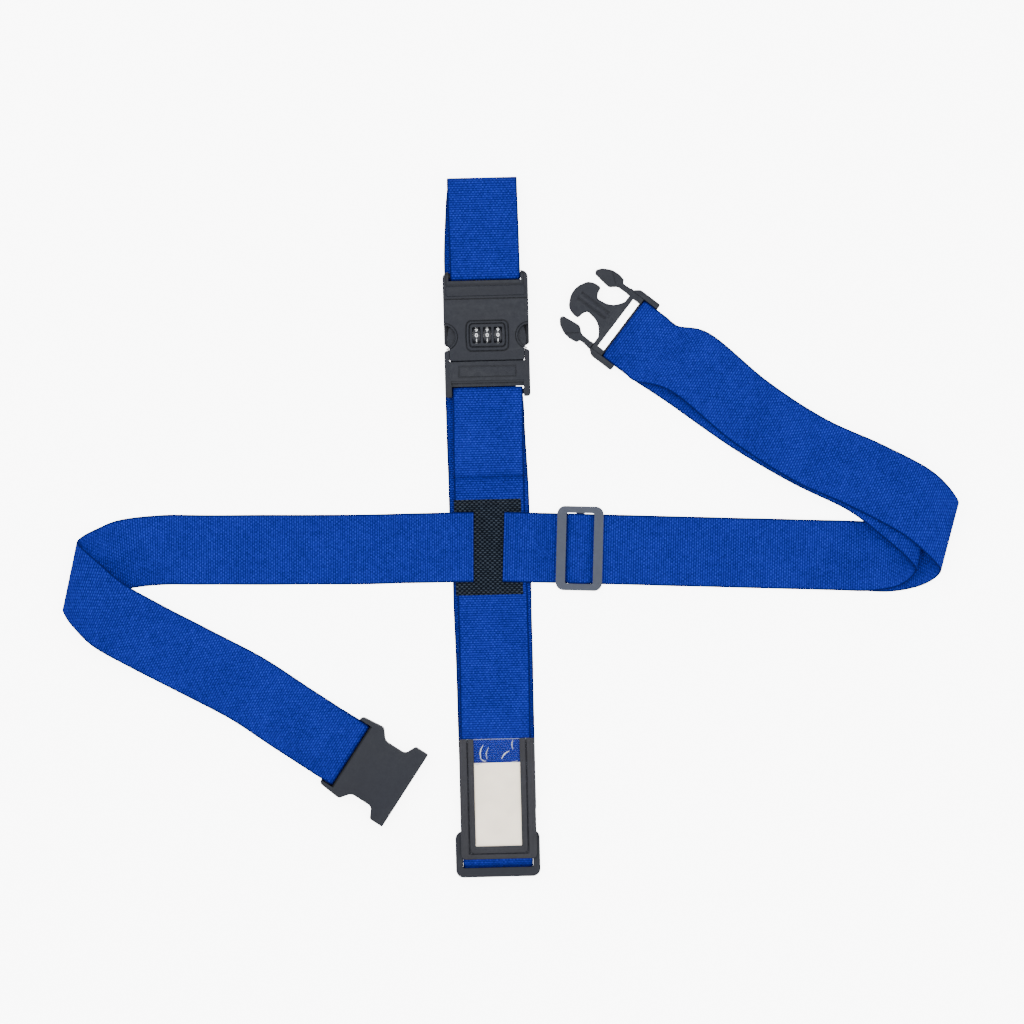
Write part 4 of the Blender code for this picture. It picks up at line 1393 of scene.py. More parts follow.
        def by_bar(back: float, z: float) -> tuple[float, ...]:
            """A row behind the bar."""
            return (*(MALE @ Vector((MALE_BAR_P - back, 0.0, z))), bar_heading)

        high, low = bar_z + self.wrap, bar_z - self.wrap
        inner = [
            run(236.0, 2.25), run(250.3, 2.25), (272.0, -6.4, 2.5, 88), (293.0, -3.2, 3.9, 84),
            (307.0, 5.4, 8.6, 78)
        ]
        inner += [
            (306.4, 13.0, 13.6, 73), (290.0, 29.2, 15.4, 66), (266.0, 48.0, 13.6, 62),
            (226.6, 67.4, 9.0, 63)
        ]
        inner += [(184.0, 92.6, 5.0, 57), (143.2, 121.6, 2.4, 54), by_bar(26.4, low), by_bar(17.4, low)]
        outer = [
            run(236.0, 0.65), run(262.3, 0.65), (286.0, -7.0, 0.65, 88), (309.0, -3.0, 2.4, 84),
            (324.6, 4.6, 9.0, 77)
        ]
        outer += [
            (323.4, 12.4, 16.2, 73), (303.0, 31.6, 18.6, 66), (266.0, 51.4, 16.4, 62),
            (226.6, 69.4, 11.6, 63)
        ]
        outer += [(184.0, 97.2, 8.2, 58), (143.2, 131.0, 8.2, 56), by_bar(26.4, high), by_bar(17.4, high)]
        return inner, outer

    def build(self) -> None:
        """Lay all the webbing."""
        self.build_loop()
        self.build_left_arm()
        self.build_right_arm()


# ---------------------------------------------------------------- crossing


@dataclass
class Crossing:
    """The black woven patch where the straps cross, and the stitching round it."""

    wardrobe: Wardrobe
    middle_u: float = -1.4
    half_u: float = 23.9
    half_v: float = 34.0
    z: Span = (4.8, 5.6)

    def build(self) -> None:
        """Lay the patch and sew it down."""
        self.patch()
        self.stitches()

    def patch(self) -> None:
        """A woven square with soft edges, its cloth coordinates flat on it."""
        bm = bmesh.new()
        bmesh.ops.create_grid(bm, x_segments=36, y_segments=52, size=0.5)
        cloth = bm.loops.layers.uv.new("cloth")
        for face in bm.faces:
            for loop in face.loops:
                loop[cloth].uv = (
                    loop.vert.co.x * 2 * self.half_u * MM, loop.vert.co.y * 2 * self.half_v * MM
                )
        for vert in bm.verts:
            u, v = vert.co.x * 2, vert.co.y * 2
            fray = noise.noise(Vector((u * 9.0, v * 13.0, 1.0)))
            rim = max(abs(u), abs(v)) ** 24
            wave = noise.noise(Vector((u * 2.0, v * 3.0, 4.0))) * 0.1
            vert.co = (
                self.middle_u + u * (self.half_u + fray * 0.25 * abs(u) ** 8),
                v * (self.half_v + fray * 0.25 * abs(v) ** 8),
                self.z[1] + wave - 0.35 * rim,
            )
        bmesh.ops.solidify(bm, geom=bm.faces[:], thickness=self.z[1] - self.z[0] - 0.2)
        bmesh.ops.recalc_face_normals(bm, faces=bm.faces)
        piece = Blank(bm).piece("crossing_patch_weave", LINE, 60.0)
        self.wardrobe.hang(piece, Finishes.PATCH, "root", ["crossing_patch"])

    def stitches(self) -> None:
        """Rows across the arms' ends, and along the patch's upper and lower edges."""
        top = 7.28
        left, right = -12.1, 9.3
        rows = [(Vector((x, -22.0, top)), Vector((x, 22.0, top))) for x in (left - 2.4, left - 9.0)]
        rows += [(Vector((left - 9.0, y, top)), Vector((left - 2.4, y, top))) for y in (-22.0, 22.0)]
        piece = Stitching().rows("left_end_stitches", rows, Matrix.Identity(4))
        self.wardrobe.hang(piece, Finishes.BLUE_THREAD, "root")
        rows = [(Vector((x, -22.0, top)), Vector((x, 22.0, top))) for x in (right + 2.4, right + 9.0)]
        rows += [(Vector((right + 2.4, y, top)), Vector((right + 9.0, y, top))) for y in (-22.0, 22.0)]
        piece = Stitching().rows("right_end_stitches", rows, RIGHT)
        self.wardrobe.hang(piece, Finishes.BLUE_THREAD, "root")
        u0, u1 = self.middle_u - self.half_u + 2.0, self.middle_u + self.half_u - 2.0
        rows = [(Vector((u0, v, self.z[1])), Vector((u1, v, self.z[1]))) for v in (-31.6, 31.6)]
        piece = Stitching(2.4, 3.1, 0.4).rows("patch_stitches", rows, LINE)
        self.wardrobe.hang(piece, Finishes.BLACK_THREAD, "root")


# ---------------------------------------------------------------- lock


@dataclass
class Lock:
    """The three-dial lock: its cover, back plate, bezel, dials and plug, in a frame with v up the strap."""

    wardrobe: Wardrobe
    half_width: float = 30.35
    base_z: Span = (1.6, 3.4)
    cover_z: Span = (3.7, 15.2)
    ceiling: float = 13.0
    bezel_top: float = 16.1
    top_v: float = 196.4
    slot_v: float = 189.6
    low_v: float = 132.8
    seam_v: Span = (176.2, 177.1)
    recess: tuple[float, float] = (150.0, 8.35)
    bar: tuple[float, float] = (193.4, 8.4)
    dial_v: float = 150.7
    dial_z: float = 9.95
    dial_r: float = 6.2
    dial_w: float = 5.2
    dial_pitch: float = 7.65

    def build(self) -> None:
        """Build every part of the lock."""
        self.build_cover()
        self.build_bezel()
        self.build_base()
        for number in range(3):
            self.build_dial(number)
        self.build_plug()
        self.build_hidden()

    def sides(self) -> list[Corner]:
        """The right side of the housing's outline up to its notch, from the plug's end."""
        return [
            (26.7, self.low_v, 1.5), (26.7, 140.9, 0.5), (26.2, 142.1, 0.4), (self.half_width, 144.7, 0.9)
        ]

    def recess_ends(self) -> list[tuple[float, float]]:
        """The middles of the two thumb recesses."""
        return [(-self.half_width, self.recess[0]), (self.half_width, self.recess[0])]

    def build_cover(self) -> None:
        """The front cover: hollow, with a raised band, a slot for the strap, and thumb recesses."""
        low, high = self.cover_z
        half = self.sides() + [(self.half_width, self.top_v, 5.0)]
        cover = Blank.plate(both_sides(half), (low, high), 10)
        cover.ease(1.25, 4, lambda at: at.z > high - 0.2)
        cavity = Blank.block((-28.2, 28.2), (self.low_v - 5, 184.5), (low - 2, self.ceiling))
        way = Blank.block((-26.2, 25.2), (self.slot_v, self.top_v + 5), (low - 2, high + 2))
        cover.cut(cavity, way)
        band = Blank.plate(
            [(-28.3, 178.6, 1.6), (28.3, 178.6, 1.6), (28.3, 185.9, 1.6), (-28.3, 185.9, 1.6)],
            (high - 0.6, high + 0.7),
        )
        band.ease(0.6, 3, lambda at: at.z > high + 0.5)
        post = Blank.rod((-27, self.bar[0], self.bar[1]), (27, self.bar[0], self.bar[1]), 2.0)
        cover.join(band, post)
        holes = [
            Blank.rod((u, v, low + 1), (u, v, high + 3), self.recess[1], 48) for u,
            v in self.recess_ends()
        ]
        holes.append(Blank.block((-40, 40), self.seam_v, (high - 1.3, high + 2)))
        holes.append(Blank.block((-28.3, 27.6), (186.4, 195.0), (high - 1.3, high + 2)))
        holes.append(self.bezel_groove(high))
        holes += [self.thumb_groove(u, v, high) for u, v in self.recess_ends()]
        holes.append(
            Blank.block((-11.4, 12.4), (self.dial_v - 6.4, self.dial_v + 6.4), (self.ceiling - 2, high + 2))
        )
        cover.cut(*holes)
        piece = cover.piece("lock_cover_shell", LOCK, 30.0)
        self.soften(piece, 0.22)
        self.wardrobe.hang(piece, Finishes.PLASTIC, "root", ["lock_cover"])
        rims = [self.recess_rim(u, v, high) for u, v in self.recess_ends()]
        for side, rim in zip(("left", "right"), rims):
            self.wardrobe.hang(rim.piece(f"thumb_rim_{side}", LOCK), Finishes.PLASTIC, "root")

    def bezel_groove(self, high: float) -> Blank:
        """The cutter for the deep line that runs round the bezel."""
        corners = [
            (-14.4, 139.0, 3.6), (15.6, 139.0, 3.6), (16.5, 150.2, 6.0), (15.6, 161.5, 3.6),
            (-14.4, 161.5, 3.6)
        ]
        return Blank.plate([*corners, (-15.3, 150.2, 6.0)], (high - 1.3, high + 2), 6)

    def thumb_groove(self, u: float, v: float, high: float) -> Blank:
        """The cutter for the line round a thumb recess's lip."""
        ring = Blank.rod((u, v, high - 1.2), (u, v, high + 2), self.recess[1] + 1.7, 48)
        return ring.cut(Blank.rod((u, v, high - 3), (u, v, high + 4), self.recess[1] + 1.15, 48))

    def recess_rim(self, u: float, v: float, z: float) -> Blank:
        """The raised lip round a thumb recess, open at the housing's side."""
        rim = Blank.rod((u, v, z - 0.4), (u, v, z + 0.35), self.recess[1] + 1.1, 48)
        rim.cut(Blank.rod((u, v, z - 2), (u, v, z + 2), self.recess[1] + 0.15, 48))
        inward = -1.0 if u > 0 else 1.0
        limits = sorted((u + inward * 1.6, u - inward * 14.0))
        rim.cut(Blank.block((limits[0], limits[1]), (v - 14, v + 14), (z - 3, z + 3)))
        return rim.ease(0.25, 2)

    @staticmethod
    def soften(piece: bpy.types.Object, width: float) -> None:
        """Break a piece's remaining sharp edges with a fine rounding."""
        bevel = piece.modifiers.new("soft_edges", "BEVEL")
        bevel.width = width * MM
        bevel.segments = 2
        bevel.limit_method = "ANGLE"
        bevel.angle_limit = math.radians(40)
        bevel.harden_normals = False

    def windows(self, z: Span, grow: float = 0.0) -> list[Blank]:
        """The three openings over the dials."""
        made = []
        for number in range(3):
            u = DIAL_MID_U + (number - 1) * self.dial_pitch
            corners = [
                (u - 2.85 - grow, self.dial_v - 5.7 - grow, 0.7),
                (u + 2.85 + grow, self.dial_v - 5.7 - grow, 0.7)
            ]
            corners += [
                (u + 2.85 + grow, self.dial_v + 5.7 + grow, 0.7),
                (u - 2.85 - grow, self.dial_v + 5.7 + grow, 0.7)
            ]
            made.append(Blank.plate(corners, z, 4))
        return made

    def build_bezel(self) -> None:
        """The bezel: a raised ring, a dark channel, and the plate with the three windows in it."""
        high = self.cover_z[1]
        outer = [
            (-13.6, 139.9, 3.2), (14.8, 139.9, 3.2), (15.6, 150.2, 6.0), (14.8, 160.6, 3.2),
            (-13.6, 160.6, 3.2)
        ]
        outer.append((-14.4, 150.2, 6.0))
        inner = [
            (-12.2, 141.9, 2.4), (13.4, 141.9, 2.4), (14.0, 150.2, 5.0), (13.4, 159.3, 2.4),
            (-12.2, 159.3, 2.4)
        ]
        inner.append((-12.8, 150.2, 5.0))
        ring = Blank.plate(outer, (high - 0.3, self.bezel_top), 6).cut(
            Blank.plate(inner, (high - 2, high + 4), 6)
        )
        ring.ease(0.35, 3, lambda at: at.z > high + 0.2)
        self.wardrobe.hang(ring.piece("dial_bezel_ring", LOCK), Finishes.PLASTIC, "root")
        island = [
            (-11.5, 142.9, 2.0), (12.7, 142.9, 2.0), (13.2, 150.2, 4.0), (12.7, 158.6, 2.0),
            (-11.5, 158.6, 2.0)
        ]
        island.append((-12.0, 150.2, 4.0))
        plate = Blank.plate(
            island, (high - 2.2, self.bezel_top - 0.15), 6
        ).cut(*self.windows((high - 4, high + 4)))
        plate.ease(0.22, 2, lambda at: at.z > high + 0.2)
        self.wardrobe.hang(plate.piece("dial_window_plate", LOCK), Finishes.PLASTIC, "root")
        lip = Blank.block(
            (-9.5, 10.5), (143.5, 144.1), (self.bezel_top - 0.3, self.bezel_top + 0.12)
        ).ease(0.12, 2)
        self.wardrobe.hang(lip.piece("dial_window_lip", LOCK), Finishes.PLASTIC, "root")

    def build_base(self) -> None:
        """The back plate, with a shallow panel pressed into its underside and four screw posts' dimples."""
        low, high = self.base_z
        half = self.sides() + [(self.half_width, 186.7, 0.8)]
        base = Blank.plate(both_sides(half), (low, high), 6)
        pressed = Blank.plate(
            [(-22, 150, 3), (22, 150, 3), (22, 178, 3), (-22, 178, 3)], (low - 1, low + 0.4), 6
        )
        dimples = [
            Blank.rod((u, v, low - 1), (u, v, low + 0.6), 1.9, 24)
            for u in (-25.4, 25.4)
            for v in (160.5, 181.5)
        ]
        base.cut(pressed, *dimples)
        piece = base.piece("lock_back_plate", LOCK, 30.0)
        self.soften(piece, 0.25)
        self.wardrobe.hang(piece, Finishes.PLASTIC, "root", ["lock_base"])

    def build_dial(self, number: int) -> None:
        """One dial with ten finger notches between its ten raised digits."""
        u = DIAL_MID_U + (number - 1) * self.dial_pitch
        left, right = u - self.dial_w / 2, u + self.dial_w / 2
        wheel = Blank.rod(
            (left, self.dial_v, self.dial_z), (right, self.dial_v, self.dial_z), self.dial_r, 60
        )
        wheel.ease(0.35, 2)
        cuts = [Blank.rod((u - 5, self.dial_v, self.dial_z), (u + 5, self.dial_v, self.dial_z), 2.6)]
        for step in range(10):
            angle = math.radians(36 * step + 18)
            v = self.dial_v - (self.dial_r + 0.25) * math.sin(angle)
            z = self.dial_z + (self.dial_r + 0.25) * math.cos(angle)
            cuts.append(Blank.rod((u - 5, v, z), (u + 5, v, z), 0.48, 12))
        wheel.cut(*cuts)
        body = f"dial_{number + 1}"
        piece = wheel.piece(f"dial_wheel_{number + 1}", LOCK, 30.0)
        self.wardrobe.hang(piece, Finishes.DIAL, body, [body])
        digits = bmesh.new()
        for digit in range(10):
            self.add_digit(digits, str(digit), u, math.radians(36 * digit))
        piece = Blank(digits).piece(f"dial_digits_{number + 1}", LOCK, 40.0)
        self.wardrobe.hang(piece, Finishes.DIGIT, body)

    def add_digit(self, into: bmesh.types.BMesh, digit: str, u: float, turn: float) -> None:
        """Wrap one digit on a dial.

        Args:
            into: the bmesh that collects the dial's digits.
            digit: the digit.
            u: the dial's middle.
            turn: how far round the dial the digit stands.
        """
        text = bpy.data.curves.new("digit", "FONT")
        text.body = digit
        text.size = 3.7
        text.align_x = "CENTER"
        text.align_y = "CENTER"
        text.extrude = 0.16
        text.offset = 0.05
        text.resolution_u = 3
        holder = bpy.data.objects.new("digit", text)
        bpy.context.scene.collection.objects.link(holder)
        graph = bpy.context.evaluated_depsgraph_get()
        mesh = bpy.data.meshes.new_from_object(holder.evaluated_get(graph))
        bpy.data.objects.remove(holder, do_unlink=True)
        bm = bmesh.new()
        bm.from_mesh(mesh)
        bpy.data.meshes.remove(mesh)
        bmesh.ops.remove_doubles(bm, verts=bm.verts, dist=0.001)
        low = min(vert.co.y for vert in bm.verts)
        high = max(vert.co.y for vert in bm.verts)
        left = min(vert.co.x for vert in bm.verts)
        right = max(vert.co.x for vert in bm.verts)
        for height in (low + (high - low) * i / 6 for i in range(1, 6)):
            bmesh.ops.bisect_plane(
                bm, geom=[*bm.verts, *bm.edges, *bm.faces], plane_co=(0, height, 0), plane_no=(0, 1, 0),
            )
        for vert in bm.verts:
            angle = turn - (vert.co.y - (low + high) / 2) / self.dial_r
            radius = self.dial_r - 0.02 + vert.co.z
            across = u + (vert.co.x - (left + right) / 2) * 1.16
            vert.co = (
                across, self.dial_v - radius * math.sin(angle), self.dial_z + radius * math.cos(angle)
            )
        bmesh.ops.recalc_face_normals(bm, faces=bm.faces)
        made = bpy.data.meshes.new("digit")
        bm.to_mesh(made)
        bm.free()
        into.from_mesh(made)
        bpy.data.meshes.remove(made)

    def build_plug(self) -> None:
        """The plug: its face with an inset panel, two rails, the bar, and the two snap arms."""
        low, high = 2.2, 14.4
        face = Blank.block(
            (-27.5, 27.5), (117.1, 132.5), (low + 0.2, high)
        ).ease(0.7, 3, lambda at: at.z > high - 0.2)
        rails = []
        for side in (-1.0, 1.0):
            corners = [(side * 25.6, 107.0, 0.8), (side * 30.35, 107.0, 2.2), (side * 30.35, 139.4, 0.9)]
            corners += [(side * 26.75, 141.3, 0.4), (side * 26.75, 118.0, 0.3), (side * 25.6, 117.0, 0.3)]
            rail = Blank.plate(corners if side > 0 else corners[::-1], (low, high), 6)
            rails.append(rail.ease(0.6, 3, lambda at: at.z > high - 0.2 or at.z < low + 0.2))
        post = Blank.rod((-27.5, 110.5, 8.4), (27.5, 110.5, 8.4), 2.0)
        lip = Blank.block((-27.5, 27.5), (114.5, 117.6), (4.0, 11.6))
        face.join(*rails, post, lip)
        inset = Blank.plate(
            [(-20.7, 120.7, 0.6), (20.7, 120.7, 0.6), (20.7, 129.2, 0.6), (-20.7, 129.2, 0.6)],
            (high - 0.7, high + 2), 4
        )
        step = Blank.block((-26.0, 26.0), (116.0, 118.6), (high - 0.7, high + 2))
        face.cut(inset, step)
        raised = Blank.plate(
            [(-19.9, 121.5, 0.5), (19.9, 121.5, 0.5), (19.9, 128.3, 0.5), (-19.9, 128.3, 0.5)],
            (high - 1.2, high - 0.25), 4
        )
        face.join(raised.ease(0.2, 2, lambda at: at.z > high - 0.4))
        piece = face.piece("plug_frame", LOCK, 30.0)
        self.soften(piece, 0.2)
        self.wardrobe.hang(piece, Finishes.PLASTIC, "plug", ["lock_plug"])
        for side, word in ((-1.0, "left"), (1.0, "right")):
            arm = [
                (17.2, 133.0, 0.3), (21.2, 133.0, 0.3), (20.6, 140.5, 1.5), (27.9, 143.4, 1.2),
                (28.1, 150.0, 0.6)
            ]
            arm += [(26.5, 157.0, 2.0), (19.0, 159.2, 1.5), (17.2, 150.0, 1.0)]
            corners = [(side * u, v, ease) for u, v, ease in arm]
            prong = Blank.plate(corners if side > 0 else corners[::-1], (5.2, 12.4), 6).ease(0.5, 3)
            ribs = [
                Blank.block(tuple(sorted((side * 23.5, side * 27.2))), (v, v + 0.7), (12.2, 12.75))
                for v in (146.5, 148.7, 150.9, 153.1)
            ]
            prong.join(*ribs)
            piece = prong.piece(f"plug_arm_{word}", LOCK, 30.0)
            self.wardrobe.hang(piece, Finishes.PLASTIC, f"plug_latch_{word}", [f"plug_prong_{word}"])

    def build_hidden(self) -> None:
        """Finish the works inside the housing, whose shapes stay as they are."""
        for node in ("dial_sleeve_1", "dial_sleeve_2", "dial_sleeve_3", "lock_bolt"):
            self.wardrobe.dress(frame["nodes"][node], Finishes.INNER)
        for node in ("dial_shaft", "bolt_spring"):
            self.wardrobe.dress(frame["nodes"][node], Finishes.STEEL)
        low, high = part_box("bolt_spring")
        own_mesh(frame["nodes"]["bolt_spring"])


# ---------------------------------------------------------------- slides


@dataclass
class Slide:
    """An adjuster slide with two rounded bars and a thin middle bar that its strap runs over."""

    wardrobe: Wardrobe
    name: str
    body: str
    place: Matrix
    half_s: float = 16.5
    half_w: float = 30.1
    bar: float = 6.6
    rail: float = 4.5
    finish: Finishes = Finishes.PLASTIC
    z: Span = (1.6, 5.8)

    def build(self) -> None:
        """Shape the slide and hang it on its body."""
        inside, near = self.half_w - self.rail, self.half_s - self.bar
        low, high = self.z
        corners = [(-self.half_w, -self.half_s, 5.6), (self.half_w, -self.half_s, 5.6)]
        corners += [(self.half_w, self.half_s, 5.6), (-self.half_w, self.half_s, 5.6)]
        body = Blank.plate(corners, (low, high), 12)
        slots = []
        for first, last in ((-near, -2.5), (2.5, near)):
            ring = [
                (-inside, first, 1.2), (inside, first, 1.2), (inside, last, 1.2), (-inside, last, 1.2)
            ]
            slots.append(Blank.plate(ring, (low - 2, high + 2), 5))
        under = Blank.block((-inside, inside), (near - 1, self.half_s + 1), (low - 2, low + 1.6))
        over = Blank.block((-inside, inside), (-3.5, 3.5), (low + 1.8, high + 2))
        body.cut(*slots, under, over)
        piece = body.piece(self.name, self.place, 34.0)
        bevel = piece.modifiers.new("soft_edges", "BEVEL")
        bevel.width = 1.15 * MM
        bevel.segments = 4
        bevel.limit_method = "ANGLE"
        bevel.angle_limit = math.radians(40)
        self.wardrobe.hang(piece, self.finish, self.body, [self.body])


# ---------------------------------------------------------------- buckle halves


@dataclass
class SocketHalf:
    """The socket half of the side-release buckle, its mouth at the frame's origin."""

    wardrobe: Wardrobe
    top: float = 12.4
    wall: float = -44.4
    ledge: float = -45.4

    def build(self) -> None:
        """Shape the socket, hollow it, and set its bar in."""
        half = [
            (-54.7, 28.0, 2.6), (-37.0, 29.8, 1.6), (-31.0, 22.2, 2.4), (-14.5, 22.2, 2.4),
            (-10.5, 30.3, 1.2), (0.0, 30.3, 0.9)
        ]
        body = Blank.plate(lengthwise(half), (0.0, self.top), 8)
        body.ease(1.5, 5, lambda at: (at.z > self.top - 0.1 or at.z < 0.1) and at.x < -0.5)
        mouth = Blank.block((self.wall + 4, 2), (-20.2, 20.2), (2.3, self.top - 2.3))
        lips = Blank.block((-12.0, 2), (-27.5, 27.5), (2.3, self.top - 2.3))
        way = Blank.plate(
            [(-60, -25.6, 0.0), (self.ledge, -25.6, 0.6), (self.ledge, 25.6, 0.6), (-60, 25.6, 0.0)],
            (-1, self.top + 1), 4,
        )
        step = Blank.block((self.ledge - 1, self.wall), (-25.6, 25.6), (self.top - 5.5, self.top + 1))
        body.cut(mouth, lips, way, step)
        bar_z = joint_place("female_buckle_swivel").z
        # The shelf is a dark sheet under the webbing's loop that stands in for the shade seen through the
        # gap by the socket's wall.
        shelf = Blank.block((-47.7, self.wall + 1.0), (-26.2, 26.2), (0.5, 2.3))
        body.join(Blank.rod((FEMALE_BAR_Q, -26.5, bar_z), (FEMALE_BAR_Q, 26.5, bar_z), 2.0), shelf)
        piece = body.piece("socket_half", FEMALE, 30.0)
        Lock.soften(piece, 0.3)
        self.wardrobe.hang(piece, Finishes.PLASTIC, "female_buckle", ["female_buckle"])


@dataclass
class TongueHalf:
    """The tongue half of the side-release buckle: a slotted frame, a waisted tongue and two snap arms."""

    wardrobe: Wardrobe
    top: float = 10.8
    half_width: float = 29.2

    def build(self) -> None:
        """Shape the frame with its tongue, then the arms."""
        self.build_frame()
        for side, word in ((-1.0, "left"), (1.0, "right")):
            self.build_arm(side, word)

    def build_frame(self) -> None:
        """The frame, its slot and bar, and the tongue with two grooves along it."""
        base = [(-0.2, 26.0, 0.0), (5.7, 26.0, 0.0), (9.6, 25.9, 0.0), (9.6, 21.0, 0.0)]
        bridge = Blank.plate(
            lengthwise([(5.9, 21.0, 0.0), (-0.2, 21.0, 0.0), *base]), (1.4, self.top - 1.4), 2
        )
        outline = [
            (6.4, 19.2, 0.0), (8.4, 19.0, 1.2), (11.0, 12.6, 3.6), (17.0, 7.0, 3.8), (26.6, 5.6, 1.6)
        ]
        outline += [
            (28.4, 8.6, 1.2), (29.4, 13.6, 1.3), (34.6, 13.6, 2.2), (39.6, 11.2, 2.2), (43.6, 3.6, 3.0)
        ]
        tongue = Blank.plate(
            lengthwise(outline), (1.4, self.top - 1.4), 10
        ).ease(0.7, 4, lambda at: at.x > 6.5)
        body = bridge.join(tongue)
        for side in (-1.0, 1.0):
            ends = [
                (-12.0, 25.1, 0.3), (-12.0, self.half_width, 1.5), (5.6, self.half_width, 1.4),
                (9.4, 26.2, 0.6)
            ]
            corners = [(x, side * y, ease) for x, y, ease in [*ends, (9.4, 25.1, 0.3)]]
            body.join(Blank.plate(corners, (0.4, self.top), 6).ease(0.6, 3))
            for low, high in ((1.4, 2.05), (self.top - 2.05, self.top - 1.4)):
                body.join(
                    Blank.block((9.0, 11.8), tuple(sorted((side * 21.2, side * 26.1))), (low, high))
                )
        body.join(Blank.block((-2.2, 0.7), (-25.8, 25.8), (1.0, 2.15)))
        bar_z = joint_place("male_buckle_swivel").z
        post = Blank.rod((MALE_BAR_P, -26.5, bar_z), (MALE_BAR_P, 26.5, bar_z), 2.0)
        deck = self.top - 1.4
        spine = Blank.plate(
            [(12.0, -1.5, 1.2), (38.6, -1.5, 1.2), (38.6, 1.5, 1.2), (12.0, 1.5, 1.2)],
            (deck - 1, deck + 0.5), 5
        )
        body.join(post, spine.ease(0.3, 2, lambda at: at.z > deck))
        grooves = []
        for side in (-1.0, 1.0):
            edges = sorted((side * 1.9, side * 3.3))
            ring = [
                (13.5, edges[0], 0.5), (38.2, edges[0], 0.5), (38.2, edges[1], 0.5), (13.5, edges[1], 0.5)
            ]
            grooves.append(Blank.plate(ring, (deck - 1.1, deck + 3), 4))
        body.cut(*grooves)
        piece = body.piece("tongue_half", MALE, 30.0)
        Lock.soften(piece, 0.22)
        self.wardrobe.hang(piece, Finishes.PLASTIC, "male_buckle", ["male_buckle"])

    def build_arm(self, side: float, word: str) -> None:
        """One snap arm, thin at its root, with a barbed paddle."""
        arm = [
            (9.9, 21.5, 0.2), (9.9, 25.9, 0.2), (18.4, 25.3, 1.0), (19.6, 27.9, 0.6), (24.4, 28.9, 1.6),
            (30.6, 28.4, 2.2)
        ]
        arm += [
            (37.0, 25.0, 1.6), (39.8, 21.2, 1.0), (38.6, 18.8, 0.9), (28.0, 17.4, 1.6), (24.8, 17.2, 1.2),
            (20.2, 21.2, 1.6)
        ]
        corners = [(p, side * w, ease) for p, w, ease in arm]
        blank = Blank.plate(corners[::-1] if side > 0 else corners, (2.2, self.top - 2.2), 7).ease(0.7, 4)
        deck = self.top - 2.2
        groove = Blank.plate(
            [
                (22.4, side * 21.4, 0.3), (22.4, side * 22.2, 0.3), (29.5, side * 28.0, 0.3),
                (30.1, side * 27.2, 0.3)
            ][:: -1 if side < 0 else 1],
            (deck - 0.6, deck + 2), 3,
        )
        blank.cut(groove)
        piece = blank.piece(f"snap_arm_{word}", MALE, 30.0)
        self.wardrobe.hang(piece, Finishes.PLASTIC, f"male_prong_{word}", [f"male_prong_{word}"])


# ---------------------------------------------------------------- pocket


